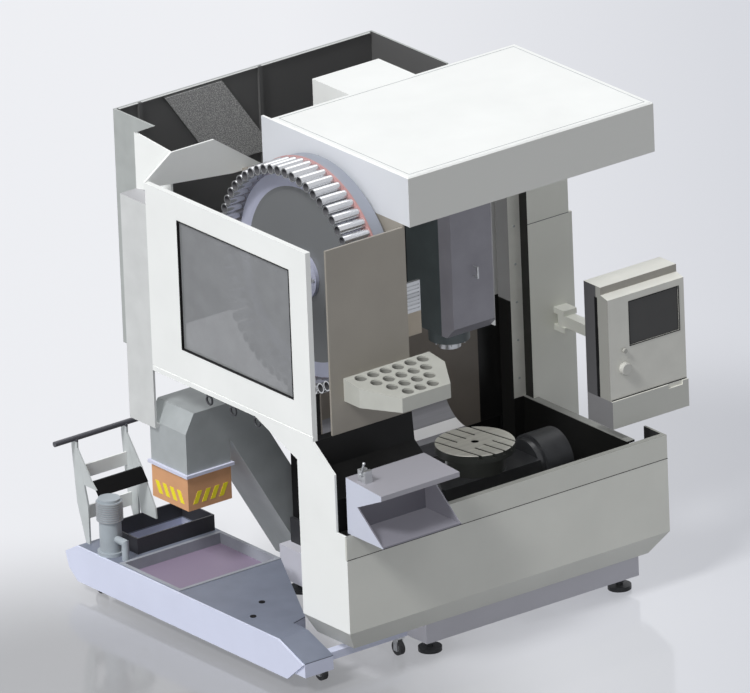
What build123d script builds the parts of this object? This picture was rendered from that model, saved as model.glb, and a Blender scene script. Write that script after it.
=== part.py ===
"""Five-axis machining centre with tool magazine, chip conveyor, coolant tank and swing-out pendant.

Places are measured in millimetres from the floor under the front left corner of the skirt:
X to the right along the front, Y to the back, Z up. The planes below move them to the part's
own origin, the middle of the whole machine's footprint.
"""
import os
from math import cos, radians, sin, tan

from build123d import *

# Shared sizes
panel = 12.0
slide_gap = 0.3
running_clearance = 0.05
overrun = 5.0

# Front skirt and apron
machine_width = 2000.0
skirt_inset = 80.0
skirt_bottom = 195.0
fold_height = 315.0
seam_height = 705.0
apron_height = 125.0
left_return = 380.0
right_return = 170.0
apron_lip = 34.0

# Left side panel and the dark sloped cover behind the tray
step_back = 79.0
step_height = 306.0
slope_back = 244.0
slope_rise = 125.0
cover_flange = 56.0
cove_rise = 170.0
cove_drop = 143.0
cove_set = 14.0
gusset_back = 715.0
gusset_drop = 129.0

# Base frame, levelling feet and bed
base_left = 560.0
base_right_margin = 108.0
base_front = 124.0
beam_width = 140.0
beam_bottom = 70.0
beam_height = 180.0
foot_diameter = 120.0
foot_thickness = 22.0
foot_stem_diameter = 36.0
foot_inset_x = 71.0
bed_margin_left = 60.0
bed_margin_right = 100.0
bed_height = 130.0
bed_front_margin = 16.0
trough_width = 620.0
trough_length = 260.0

# Magazine housing
magazine_width = 600.0
magazine_front = 245.0
magazine_back = 1555.0
magazine_top = 2255.0
front_wall_left = 123.0
front_wall_drop = 22.0
frame_thickness = 30.0
window_front = 387.0
window_back = 1300.0
window_foot = 184.0
window_head = 125.0
window_thickness = 8.0
flange_groove_height = 25.0
groove_width = 6.0
groove_depth = 4.0
changer_gate_front = 330.0
changer_gate_back = 560.0
changer_gate_low = 1500.0
changer_gate_high = 1900.0
bridge_width = 729.0
bridge_rise = 116.0
bridge_drop = 91.0
bridge_heel = 30.0
bridge_peak_shares = (0.232, 0.598)
bridge_foot_share = 0.745

# Portal column with its guide rails
carrier_thickness = 28.0
column_front = 1040.0
column_depth = 263.0
column_top = 1790.0
column_right_margin = 32.0
column_arch_width = 560.0
column_arch_height = 900.0
rail_width = 44.0
rail_height = 40.0
rail_inset = 34.0

# Saddle, ram and spindle head
spindle_offset = 66.0
spindle_y = 618.0
spindle_nose = 1359.0
saddle_width = 360.0
saddle_floor = 70.0
saddle_roof = 50.0
ram_width = 200.0
ram_height = 280.0
ram_length = 740.0
head_back = 760.0
slide_plate = 40.0
slide_plate_width = 240.0
slide_plate_drop = 220.0
slide_plate_lift = 20.0
head_width = 274.0
head_front = 495.0
head_bottom = 1480.0
head_top = 2215.0
cover_front = 394.0
cover_side_chamfer = 22.0
cover_low_chamfer = 60.0
housing_radius = 104.0
housing_length = 78.0
spindle_nose_radius = 58.0
spindle_shaft_radius = 42.0
spindle_shaft_length = 190.0
spindle_flange = 40.0
taper_mouth_radius = 22.2
taper_end_radius = 13.0
taper_depth = 65.0

# Tilting cradle and rotary table
cradle_y = 440.0
cradle_z = 690.0
trunnion_share = 0.58
housing_block = 160.0
trunnion_radius = 150.0
journal_radius = 60.0
journal_length = 90.0
cradle_disc_radius = 134.0
cradle_disc = 40.0
deck_width = 280.0
deck_rise = 70.0
deck_drop = 86.0
deck_chamfer = 60.0
table_rise = 140.0
table_edge = 3.0
table_radius = 200.0
table_disc = 45.0
table_body_radius = 150.0
table_spigot_radius = 80.0
table_spigot = 60.0
slot_pitch = 63.0
slot_width = 14.0
slot_depth = 14.0
slot_foot_width = 24.0
slot_foot_depth = 10.0
slot_angle = 9.4
center_island = 58.0
table_bore_radius = 20.0
table_bore_depth = 40.0

# Splash wall and chip ramp behind the table
splash_margin = 138.0
splash_top = 1780.0
splash_bottom = 700.0
ramp_radius = 190.0
ramp_margin = 360.0
ramp_end = 785.0
ramp_lip = 34.0
ramp_flange = 80.0

# Magazine wheel
wheel_y = 856.0
wheel_z = 1854.0
pocket_circle_radius = 560.0
pocket_count = 60
pocket_sides = 12
pocket_front = 344.0
pocket_length = 156.0
pocket_radius = 27.0
pocket_bore_radius = 21.0
pocket_bore_depth = 110.0
ring_thickness = 9.0
ring_inner_radius = 525.0
ring_outer_radius = 590.0
drum_radius = 584.0
drum_length = 70.0
drum_wall = 20.0
disc_radius = 430.0
disc_set_back = 60.0
rim_set_back = 96.0
hub_radius = 120.0
hub_proud = 40.0
axle_radius = 60.0
axle_length = 190.0
carrier_height = 200.0
carrier_front = 100.0

# Tool changer beside the head
changer_left_gap = 68.0
changer_width = 96.0
changer_front = 356.0
changer_depth = 60.0
changer_panel_low = 1720.0
changer_panel_high = 1880.0
changer_panel_thickness = 16.0
changer_unit_height = 120.0
changer_rib_count = 7
changer_rib_width = 7.0
changer_rib_depth = 5.0

# Canopy and the drive box behind it
canopy_front = 185.0
canopy_overhang = 128.0
canopy_bottom = 2250.0
canopy_height = 262.0
canopy_wall = 15.0
canopy_chamfer = 8.0
canopy_tail = 75.0
drive_box_offset = 36.0
drive_box_width = 415.0
drive_box_depth = 320.0
drive_box_drop = 12.0

# Rear cabinet
cabinet_left = 100.0
cabinet_margin = 48.0
cabinet_depth = 629.0
cabinet_bottom = 1275.0
cabinet_top = 2516.0
cabinet_corner = 1764.0
upper_wall_top = 2440.0
ledge_height = 2141.0
cabinet_tip = 1598.0
filter_left = 397.0
filter_width = 360.0
filter_lean = 300.0
filter_drop = 12.0
filter_height = 440.0
rib_places = (240.0, 985.0)
rib_width = 20.0
rib_depth = 16.0
filter_thickness = 14.0
lower_cover_back = 1766.0
lower_cover_bottom = 950.0

# Right wall, guide column and pillar covers
inner_wall_margin = 200.0
inner_wall_front = 62.0
inner_rail = 46.0
guide_margin = 260.0
guide_width = 75.0
guide_front = 900.0
guide_depth = 100.0
pillar_front = 838.0
pillar_width = 280.0
pillar_depth = 200.0
pillar_step = 1758.0
pillar_inset = 20.0

# Tool rack on the magazine's front wall
rack_center = 468.0
rack_width = 531.0
rack_nose_width = 299.0
rack_depth = 321.0
rack_shoulder = 125.0
rack_lift = 163.0
rack_back_height = 120.0
rack_front_height = 76.0
rack_rows = (6, 5, 4, 3)
socket_sides = 16
rack_pitch = 77.0
rack_row_pitch = 76.0
rack_first_row = 44.0
rack_hole_radius = 31.0
rack_hole_depth = 62.0

# Front tray with its bench top and tool clamp
tray_left = 40.0
tray_width = 485.0
tray_front = 245.0
tray_back = 40.0
bench_height = 295.0
tray_wall = 8.0
bench_thickness = 26.0
bench_drop = 18.0
tray_throat_share = 0.30
tray_throat_height_share = 0.55
clamp_x = 66.0
clamp_width = 44.0
clamp_depth = 60.0
clamp_set_back = 66.0
clamp_height = 62.0
clamp_jaw_gap = 18.0
clamp_pin_radius = 7.0
clamp_pin_height = 40.0
lever_length = 74.0
lever_radius = 5.0
lever_hub_radius = 12.0
lever_hub = 12.0
lever_lean = 25.0

# Pendant and its swing arm
pendant_margin = 254.0
pendant_width = 479.0
pendant_front = 100.0
pendant_depth = 202.0
pendant_lift = 66.0
pendant_low_box = 145.0
pendant_panel = 537.0
pendant_hood = 54.0
pendant_ledge = 70.0
pendant_skin = 14.0
screen_width = 310.0
screen_height = 230.0
screen_recess = 10.0
screen_thickness = 6.0
screen_right_margin = 36.0
screen_top_margin = 40.0
knob_radius = 32.5
knob_length = 26.0
knob_edge = 4.0
knob_stem_radius = 8.0
knob_stem_length = 30.0
knob_left_margin = 92.0
knob_height = 300.0
button_radius = 12.0
button_length = 12.0
button_travel = 4.0
button_stem_radius = 7.0
button_stem_length = 24.0
button_left_margin = 92.0
button_height = 395.0
pull_width = 90.0
pull_height = 22.0
pull_depth = 10.0
vent_height = 210.0
vent_width = 26.0
vent_depth = 8.0
boom_rise = 324.0
boom_section = 60.0
boom_pivot_gap = 44.0
boom_hub_radius = 40.0
boom_pin_radius = 18.0
boom_pin_overlap = 40.0
hinge_ear = 30.0
swivel_gap = 42.0
swivel_hub_radius = 36.0

# Chip conveyor
conveyor_left = 27.0
conveyor_front = 1340.0
conveyor_width = 297.0
conveyor_leg = 269.0
conveyor_outlet = 755.0
conveyor_shoulder = 970.0
conveyor_top = 1070.0
conveyor_chamfer = 55.0
conveyor_throat = 125.0
conveyor_angle = 60.0
conveyor_thickness = 231.0
conveyor_low = 60.0
conveyor_run_top = 260.0
conveyor_margin = 192.0
conveyor_wall = 8.0
conveyor_foot = 60.0
outlet_skirt_bottom = 560.0
outlet_flange = 14.0
outlet_flange_height = 16.0

# Coolant tank
tank_left = -207.0
tank_front = 121.0
tank_back = 1984.0
tank_tail = 2079.0
tank_top = 250.0
tank_floor = 100.0
tank_right = 450.0
tank_wall = 8.0
tank_nose_right = -20.0
tank_nose_back = 440.0
tank_waist_x = 76.0
tank_waist_y = 470.0
tank_flare_y = 1165.0
side_plate_bottom = 60.0
side_plate_nose = 171.0
side_plate_shoulder = 321.0
side_plate_heel = 255.0
side_plate_tail_high = 196.0
side_plate_tail_low = 116.0
side_plate_tail_foot = 2053.0
deck_thickness = 6.0
strainer_front = 1165.0
strainer_back = 1635.0
strainer_margin = 20.0
strainer_depth = 60.0
strainer_lip = 14.0
strainer_lip_height = 4.0
bin_front = 1680.0
bin_left = -50.0
bin_right = 430.0
bin_back = 1950.0
bin_wall = 8.0
bin_height = 84.0
cross_beam_y = 250.0
cross_beam_width = 56.0
cross_beam_height = 40.0
cross_beam_end = 516.0

# Pump on the tank
pump_x = -133.0
pump_y = 1790.0
pump_foot_radius = 69.0
pump_foot = 18.0
pump_body_radius = 56.0
pump_body = 160.0
pump_motor_radius = 64.0
pump_motor = 105.0
pump_cap = 14.0
pipe_radius = 19.0
pipe_height = 70.0
pipe_reach = 120.0

# Pull handle on the tank
handle_plate_left = -140.0
handle_plate_right = 168.0
handle_plate = 10.0
handle_bar_radius = 14.0
handle_bar_y = 2050.0
handle_bar_z = 790.0
handle_bar_left = -266.0
handle_bar_right = 256.0
handle_foot = 30.0
handle_neck = 46.0
handle_belly_height = 200.0
handle_belly_width = 92.0
handle_brace_height = 70.0
handle_brace_share = (0.30, 0.72)

# Casters
caster_x = (0.0, 478.0, -120.0, 380.0)
caster_y = (250.0, 250.0, 1900.0, 1900.0)
wheel_radius = 39.0
wheel_width = 26.0
caster_plate = 8.0
caster_plate_size = 56.0
fork_wall = 6.0
fork_gap = 1.0
fork_leg = 30.0
caster_pin_radius = 7.0

# Places worked out from the sizes above
apron_top = seam_height + apron_height
step_top = apron_top + step_height
cover_top = step_top + slope_rise
gusset_low = cover_top - gusset_drop
tray_top = apron_top + bench_height
rack_bottom = cover_top + rack_lift
front_wall_top = magazine_top - front_wall_drop
window_low = cover_top + window_foot
window_high = magazine_top - window_head
base_right = machine_width - base_right_margin
inner_wall_x = machine_width - inner_wall_margin
guide_left = machine_width - guide_margin
pillar_left = guide_left + guide_width
pendant_left = machine_width - pendant_margin
pendant_right = pendant_left + pendant_width
pendant_bottom = apron_top + pendant_lift
boom_height = pendant_bottom + boom_rise
boom_pivot_x = machine_width
conveyor_right = base_right - conveyor_margin
datum_x = (handle_bar_left + pendant_right) / 2
datum_y = (tank_tail - tray_front) / 2
beam_top = beam_bottom + beam_height
bed_left = base_left + bed_margin_left
bed_right = base_right - bed_margin_right
bed_top = beam_top + bed_height
spindle_x = (bed_left + bed_right) / 2 - spindle_offset
deck_top = cradle_z + deck_rise
deck_bottom = cradle_z - deck_drop
table_top = deck_top + table_rise
trunnion_span = (bed_right - bed_left) * trunnion_share
drive_box_left = spindle_x - drive_box_offset
partition_right = magazine_width + panel
column_left = partition_right + carrier_thickness
column_right = bed_right - column_right_margin
splash_right = column_right - splash_margin
ramp_right = column_right - ramp_margin
cabinet_right = column_right - cabinet_margin
column_back = column_front + column_depth
base_back = column_back + bed_front_margin
canopy_right = machine_width + canopy_overhang
canopy_top = canopy_bottom + canopy_height
roof_under = canopy_top - canopy_wall
cabinet_back = column_back + cabinet_depth
rail_top = column_top + rail_height
ram_bottom = rail_top + slide_gap + saddle_floor
ram_top = ram_bottom + ram_height
saddle_top = ram_top + slide_gap + saddle_roof
pocket_back = pocket_front + pocket_length
drum_front = pocket_back + ring_thickness
drum_back = drum_front + drum_length
pendant_top = pendant_bottom + pendant_low_box + pendant_panel + pendant_hood
pendant_back = pendant_front + pendant_depth
swivel_x = boom_pivot_x
swivel_y = pendant_back + swivel_gap
boom_pivot_y = pillar_front - boom_pivot_gap


def at_x(x):
    """Plane across X: its sketches are drawn in (Y, Z) and grow towards +X."""
    return Plane(origin=(x - datum_x, -datum_y, 0), x_dir=(0, 1, 0), z_dir=(1, 0, 0))


def at_y(y):
    """Plane across Y: its sketches are drawn in (X, Z) and grow towards the front, -Y."""
    return Plane(origin=(-datum_x, y - datum_y, 0), x_dir=(1, 0, 0), z_dir=(0, -1, 0))


def at_z(z):
    """Plane across Z: its sketches are drawn in (X, Y) and grow upwards."""
    return Plane(origin=(-datum_x, -datum_y, z))


def block(x_span, y_span, z_span, mode=Mode.ADD):
    """Rectangular solid between two places along each axis."""
    center = [(low + high) / 2 for low, high in (x_span, y_span, z_span)]
    with Locations((center[0] - datum_x, center[1] - datum_y, center[2])):
        Box(x_span[1] - x_span[0], y_span[1] - y_span[0], z_span[1] - z_span[0], mode=mode)


def upright(x, y, z_span, radius, mode=Mode.ADD):
    """Round solid standing along Z."""
    with Locations((x - datum_x, y - datum_y, (z_span[0] + z_span[1]) / 2)):
        Cylinder(radius, z_span[1] - z_span[0], mode=mode)


def along_x(x_span, y, z, radius, mode=Mode.ADD):
    """Round solid lying along X."""
    with Locations(((x_span[0] + x_span[1]) / 2 - datum_x, y - datum_y, z)):
        Cylinder(radius, x_span[1] - x_span[0], rotation=(0, 90, 0), mode=mode)


def along_y(x, y_span, z, radius, mode=Mode.ADD):
    """Round solid lying along Y."""
    with Locations((x - datum_x, (y_span[0] + y_span[1]) / 2 - datum_y, z)):
        Cylinder(radius, y_span[1] - y_span[0], rotation=(90, 0, 0), mode=mode)


def prism_x(points, x_span, mode=Mode.ADD):
    """Straight-sided solid with a (Y, Z) outline between two places along X."""
    with BuildSketch(at_x(x_span[0])) as outline:
        Polygon(*points, align=None)
    extrude(to_extrude=outline.sketch, amount=x_span[1] - x_span[0], mode=mode)


def prism_y(points, y_span, mode=Mode.ADD):
    """Straight-sided solid with an (X, Z) outline between two places along Y."""
    with BuildSketch(at_y(y_span[0])) as outline:
        Polygon(*points, align=None)
    extrude(to_extrude=outline.sketch, amount=y_span[0] - y_span[1], mode=mode)


def prism_z(points, z_span, mode=Mode.ADD):
    """Straight-sided solid with an (X, Y) outline between two heights."""
    with BuildSketch(at_z(z_span[0])) as outline:
        Polygon(*points, align=None)
    extrude(to_extrude=outline.sketch, amount=z_span[1] - z_span[0], mode=mode)


def finish(piece, name):
    """Label a finished piece and write it."""
    piece.part.label = name
    export_step(piece.part, f"parts/{name}.step")


os.makedirs("parts", exist_ok=True)

# Base frame: two long beams, two side beams and a middle one, with brackets for the skirt
side_beams = (
    (base_left, base_left + beam_width),
    ((base_left + base_right - beam_width) / 2, (base_left + base_right + beam_width) / 2),
    (base_right - beam_width, base_right),
)
with BuildPart() as base_frame:
    for beam_front_y in (base_front, base_back - beam_width):
        block((base_left, base_right), (beam_front_y, beam_front_y + beam_width), (beam_bottom, beam_top))
    for span in side_beams:
        block(span, (base_front, base_back), (beam_bottom, beam_top))
    for x in (base_left + beam_width, base_right - 2 * beam_width):
        block((x - beam_width / 2, x + beam_width / 2), (panel, base_front), (fold_height, fold_height + panel))
        block(
            (x - beam_width / 2, x + beam_width / 2),
            (base_front, base_front + bed_front_margin),
            (beam_top, fold_height + panel),
        )
finish(base_frame, "base_frame")

# Levelling feet: a pad and a threaded stem under each corner of the base
foot_places = [
    (x, y)
    for x in (base_left + foot_inset_x, base_right - foot_inset_x)
    for y in (base_front + beam_width / 2, base_back - beam_width / 2)
]
with BuildPart() as levelling_feet:
    for x, y in foot_places:
        upright(x, y, (0, foot_thickness), foot_diameter / 2)
        upright(x, y, (foot_thickness, beam_bottom), foot_stem_diameter / 2)
finish(levelling_feet, "levelling_feet")

# Bed: the casting that carries column and cradle, with a chip trough through it
trough_front = cradle_y + trunnion_radius
with BuildPart() as machine_bed:
    block((bed_left, bed_right), (base_front + bed_front_margin, column_back), (beam_top, bed_top))
    block(
        (spindle_x - trough_width / 2, spindle_x + trough_width / 2),
        (trough_front, trough_front + trough_length),
        (beam_top - overrun, bed_top + overrun),
        Mode.SUBTRACT,
    )
finish(machine_bed, "machine_bed")

# Portal column: a cast arch with a flat top for the rails
column_middle = (column_left + column_right) / 2
with BuildPart() as portal_column:
    block((column_left, column_right), (column_front, column_back), (bed_top, column_top))
    block(
        (column_middle - column_arch_width / 2, column_middle + column_arch_width / 2),
        (column_front - overrun, column_back + overrun),
        (bed_top - overrun, bed_top + column_arch_height),
        Mode.SUBTRACT,
    )
finish(portal_column, "portal_column")

# Guide rails along the column's top
rail_places = (column_front + rail_inset, column_back - rail_inset - rail_width)
with BuildPart() as x_rails:
    for y in rail_places:
        block((column_left, column_right), (y, y + rail_width), (column_top, rail_top))
finish(x_rails, "x_rails")


def skirt_form(wall, reach):
    """Folded skirt form with every face moved in by a wall, reaching back by a depth."""
    low = skirt_bottom
    right = machine_width - wall
    with BuildPart() as form:
        prism_y(
            (
                (skirt_inset + wall, low),
                (wall, fold_height),
                (wall, seam_height),
                (right, seam_height),
                (right, fold_height),
                (right - skirt_inset, low),
            ),
            (0, reach),
        )
        prism_x(
            (
                (skirt_inset + wall, low),
                (wall, fold_height),
                (wall, seam_height),
                (reach, seam_height),
                (reach, low),
            ),
            (0, machine_width),
            Mode.INTERSECT,
        )
    return form.part


skirt_core = skirt_form(panel, left_return + overrun)
with BuildPart() as front_skirt:
    add(skirt_form(0, left_return))
    add(skirt_core, mode=Mode.SUBTRACT)
    block(
        (machine_width / 2, machine_width + overrun),
        (right_return, left_return + overrun),
        (skirt_bottom - overrun, seam_height + overrun),
        Mode.SUBTRACT,
    )
finish(front_skirt, "front_skirt")

# Apron: the strip over the skirt, with its folded lip and right return
with BuildPart() as front_apron:
    block((0, machine_width), (0, panel), (seam_height, apron_top))
    block((machine_width - panel, machine_width), (0, right_return), (seam_height, apron_top))
    block((partition_right, machine_width), (0, apron_lip), (apron_top - panel, apron_top))
finish(front_apron, "front_apron")

# Left side panel with its step, slope and gusset
with BuildPart() as left_side_panel:
    prism_x(
        (
            (panel, seam_height),
            (panel, apron_top),
            (step_back, apron_top),
            (step_back, step_top),
            (slope_back, cover_top),
            (gusset_back, cover_top),
            (left_return, gusset_low),
            (left_return, seam_height),
        ),
        (0, panel),
    )
finish(left_side_panel, "left_side_panel")

# Dark cover behind the tray: one sheet bent four times
with BuildPart() as sloped_front_cover:
    with BuildSketch(at_x(panel)):
        with BuildLine():
            Polyline(
                (panel, apron_top),
                (step_back, apron_top),
                (step_back, apron_top + cove_rise),
                (slope_back - cove_set, cover_top - cove_drop),
                (slope_back, cover_top),
                (slope_back + cover_flange, cover_top),
            )
            offset(amount=panel, side=Side.RIGHT, kind=Kind.INTERSECTION)
        make_face()
    extrude(amount=partition_right - panel)
finish(sloped_front_cover, "sloped_front_cover")

# Magazine front wall: an angled sheet, with the partition beside the work space
with BuildPart() as magazine_front_wall:
    block((front_wall_left, partition_right), (magazine_front, magazine_front + panel), (cover_top, front_wall_top))
    prism_x(
        (
            (magazine_front, cover_top),
            (magazine_back, cover_top),
            (magazine_back, magazine_top - bridge_drop + panel),
            (column_back + canopy_tail, canopy_bottom),
            (magazine_front, canopy_bottom),
        ),
        (magazine_width, partition_right),
    )
    block(
        (magazine_width - overrun, partition_right + overrun),
        (changer_gate_front, changer_gate_back),
        (changer_gate_low, changer_gate_high),
        Mode.SUBTRACT,
    )
    along_x(
        (magazine_width - overrun, partition_right + overrun),
        wheel_y,
        wheel_z,
        axle_radius + panel,
        Mode.SUBTRACT,
    )
finish(magazine_front_wall, "magazine_front_wall")

# Window frame on the left of the magazine, with a folded foot line
with BuildPart() as magazine_side_frame:
    block((0, frame_thickness), (magazine_front, magazine_back), (cover_top, magazine_top))
    block(
        (-overrun, frame_thickness + overrun),
        (window_front, window_back),
        (window_low, window_high),
        Mode.SUBTRACT,
    )
    groove_low = cover_top + flange_groove_height
    block(
        (-overrun, groove_depth),
        (magazine_front - overrun, magazine_back + overrun),
        (groove_low, groove_low + groove_width),
        Mode.SUBTRACT,
    )
finish(magazine_side_frame, "magazine_side_frame")

with BuildPart() as magazine_window:
    middle = frame_thickness / 2
    block(
        (middle - window_thickness / 2, middle + window_thickness / 2),
        (window_front, window_back),
        (window_low, window_high),
    )
finish(magazine_window, "magazine_window")

# Bridge plate over the back of the magazine
with BuildPart() as bridge_plate:
    prism_y(
        (
            (0, magazine_top - bridge_heel),
            (0, magazine_top),
            (bridge_width * bridge_peak_shares[0], magazine_top + bridge_rise),
            (bridge_width * bridge_peak_shares[1], magazine_top + bridge_rise),
            (bridge_width, magazine_top - bridge_drop),
            (bridge_width * bridge_foot_share, magazine_top - bridge_drop),
        ),
        (magazine_back, magazine_back + panel),
    )
finish(bridge_plate, "bridge_plate")

# Canopy: a folded hood, open below, with its left sheet running on behind
with BuildPart() as canopy:
    block((magazine_width, canopy_right), (canopy_front, column_back), (canopy_bottom, canopy_top))
    chamfer(canopy.edges().group_by(Axis.Z)[-1], canopy_chamfer)
    block(
        (magazine_width + canopy_wall, canopy_right - canopy_wall),
        (canopy_front + canopy_wall, column_back - canopy_wall),
        (canopy_bottom - overrun, canopy_top - canopy_wall),
        Mode.SUBTRACT,
    )
    block(
        (magazine_width, magazine_width + canopy_wall),
        (column_back, column_back + canopy_tail),
        (canopy_bottom, canopy_top - canopy_chamfer),
    )
finish(canopy, "canopy")

with BuildPart() as drive_box:
    block(
        (drive_box_left, drive_box_left + drive_box_width),
        (column_back, column_back + drive_box_depth),
        (canopy_bottom + drive_box_drop, canopy_top - drive_box_drop),
    )
    block(
        (drive_box_left + panel, drive_box_left + drive_box_width - panel),
        (column_back + panel, column_back + drive_box_depth - panel),
        (canopy_bottom + drive_box_drop - overrun, canopy_top - drive_box_drop - panel),
        Mode.SUBTRACT,
    )
finish(drive_box, "drive_box")

# Rear cabinet: left, back and right walls, open above, with ribs and a leaning filter panel inside
filter_back = cabinet_back - panel
filter_high = cabinet_top - filter_drop
filter_low = filter_high - filter_height
with BuildPart() as rear_cabinet:
    block((cabinet_left, cabinet_right), (cabinet_back - panel, cabinet_back), (cabinet_bottom, cabinet_top))
    block((cabinet_right - panel, cabinet_right), (column_back, cabinet_back), (cabinet_bottom, cabinet_top))
    prism_x(
        (
            (cabinet_back, cabinet_bottom),
            (cabinet_back, cabinet_top),
            (cabinet_tip, cabinet_top),
            (cabinet_corner - panel, upper_wall_top),
            (cabinet_corner, upper_wall_top),
            (cabinet_corner, cabinet_bottom),
        ),
        (cabinet_left, cabinet_left + panel),
    )
    prism_y(
        (
            (filter_left, filter_high),
            (filter_left + filter_width, filter_high),
            (filter_left + filter_width + filter_lean, filter_low),
            (filter_left + filter_lean, filter_low),
        ),
        (filter_back - filter_thickness, filter_back),
    )
    for x in rib_places:
        block((x, x + rib_width), (filter_back - rib_depth, filter_back), (cabinet_bottom, cabinet_top))
finish(rear_cabinet, "rear_cabinet")

# Upper left wall: a sheet from the cabinet's corner to the bridge plate's peak, with a falling top edge
bridge_peak_x = bridge_width * bridge_peak_shares[0]
bridge_back = magazine_back + panel
with BuildPart() as upper_left_wall:
    prism_z(
        (
            (cabinet_left, cabinet_corner),
            (cabinet_left + panel, cabinet_corner),
            (bridge_peak_x + panel, bridge_back),
            (bridge_peak_x, bridge_back),
        ),
        (ledge_height, upper_wall_top),
    )
    prism_x(
        (
            (bridge_back - overrun, magazine_top + bridge_rise),
            (bridge_back, magazine_top + bridge_rise),
            (cabinet_corner, upper_wall_top),
            (cabinet_corner, upper_wall_top + overrun),
            (bridge_back - overrun, upper_wall_top + overrun),
        ),
        (cabinet_left - overrun, bridge_peak_x + 2 * panel),
        Mode.SUBTRACT,
    )
finish(upper_left_wall, "upper_left_wall")

# Lower cover beside the conveyor: left face, back return, top ledge and the pad that holds the conveyor
with BuildPart() as lower_left_cover:
    block((0, panel), (magazine_back, lower_cover_back), (lower_cover_bottom, ledge_height))
    block((0, cabinet_left), (lower_cover_back - panel, lower_cover_back), (lower_cover_bottom, ledge_height))
    block((0, cabinet_left + panel), (magazine_back + panel, cabinet_corner), (ledge_height - panel, ledge_height))
    block(
        (panel, conveyor_left),
        (magazine_back, conveyor_front + conveyor_width),
        (lower_cover_bottom, conveyor_shoulder),
    )
finish(lower_left_cover, "lower_left_cover")

# Right inner wall with its top rail
with BuildPart() as right_inner_wall:
    block((inner_wall_x, inner_wall_x + panel), (inner_wall_front, guide_front), (beam_top, apron_top))
    block(
        (inner_wall_x, inner_wall_x + inner_rail),
        (inner_wall_front, guide_front),
        (apron_top - panel, apron_top),
    )
finish(right_inner_wall, "right_inner_wall")

with BuildPart() as guide_column:
    block((guide_left, pillar_left), (guide_front, guide_front + guide_depth), (bed_top, roof_under))
finish(guide_column, "guide_column")


def pillar_cover(right, z_span):
    """Channel with a closed top, open to the back."""
    with BuildPart() as cover:
        block((pillar_left, right), (pillar_front, pillar_front + pillar_depth), z_span)
        block(
            (pillar_left + panel, right - panel),
            (pillar_front + panel, pillar_front + pillar_depth + overrun),
            (z_span[0] - overrun, z_span[1] - panel),
            Mode.SUBTRACT,
        )
    return cover


# Lower pillar cover, with the hinge ears and pin for the pendant's boom
ear_x = (boom_pivot_x - boom_hub_radius, boom_pivot_x + boom_hub_radius)
hub_half = boom_section / 2
pin_span = (boom_height - hub_half - hinge_ear, boom_height + hub_half + hinge_ear)
with BuildPart() as pillar_lower_cover:
    add(pillar_cover(pillar_left + pillar_width, (apron_top, pillar_step)).part)
    for z in (boom_height - hub_half - slide_gap - hinge_ear, boom_height + hub_half + slide_gap):
        block(ear_x, (boom_pivot_y - boom_hub_radius, pillar_front), (z, z + hinge_ear))
    upright(boom_pivot_x, boom_pivot_y, pin_span, boom_pin_radius)
finish(pillar_lower_cover, "pillar_lower_cover")
pillar_upper_cover = pillar_cover(pillar_left + pillar_width - pillar_inset, (pillar_step, roof_under))
finish(pillar_upper_cover, "pillar_upper_cover")

# Splash wall on the column's front, and the chip ramp below it
with BuildPart() as rear_splash_wall:
    block((column_left, splash_right), (column_front - panel, column_front), (splash_bottom, splash_top))
    block((splash_right, pillar_left), (column_front - panel, column_front), (splash_bottom, canopy_bottom))
finish(rear_splash_wall, "rear_splash_wall")

ramp_back = column_front - panel
ramp_middle = ramp_back - ramp_radius
with BuildPart() as chip_ramp:
    with BuildSketch(at_x(column_left)):
        with BuildLine():
            RadiusArc((ramp_back, ramp_end + ramp_radius), (ramp_middle, ramp_end), ramp_radius)
            Polyline(
                (ramp_middle, ramp_end),
                (ramp_middle - ramp_lip, ramp_end),
                (ramp_middle - ramp_lip, ramp_end - ramp_flange),
                (ramp_middle - ramp_lip + panel, ramp_end - ramp_flange),
                (ramp_middle - ramp_lip + panel, ramp_end - panel),
                (ramp_back, ramp_end - panel),
                (ramp_back, ramp_end + ramp_radius),
            )
        make_face()
    extrude(amount=ramp_right - column_left)
finish(chip_ramp, "chip_ramp")


def trunnion_housing(x_span, bore_span):
    """Bearing block with a round head and a bore for the cradle's journal."""
    with BuildPart() as housing:
        block(x_span, (cradle_y - trunnion_radius, cradle_y + trunnion_radius), (bed_top, cradle_z))
        along_x(x_span, cradle_y, cradle_z, trunnion_radius)
        along_x(bore_span, cradle_y, cradle_z, journal_radius + running_clearance, Mode.SUBTRACT)
    return housing


cradle_left = spindle_x - trunnion_span / 2
cradle_right = spindle_x + trunnion_span / 2
left_trunnion_housing = trunnion_housing(
    (cradle_left - housing_block, cradle_left), (cradle_left - journal_length - slide_gap, cradle_left + overrun)
)
finish(left_trunnion_housing, "left_trunnion_housing")
right_trunnion_housing = trunnion_housing(
    (cradle_right, cradle_right + housing_block), (cradle_right - overrun, cradle_right + journal_length + slide_gap)
)
finish(right_trunnion_housing, "right_trunnion_housing")

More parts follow.
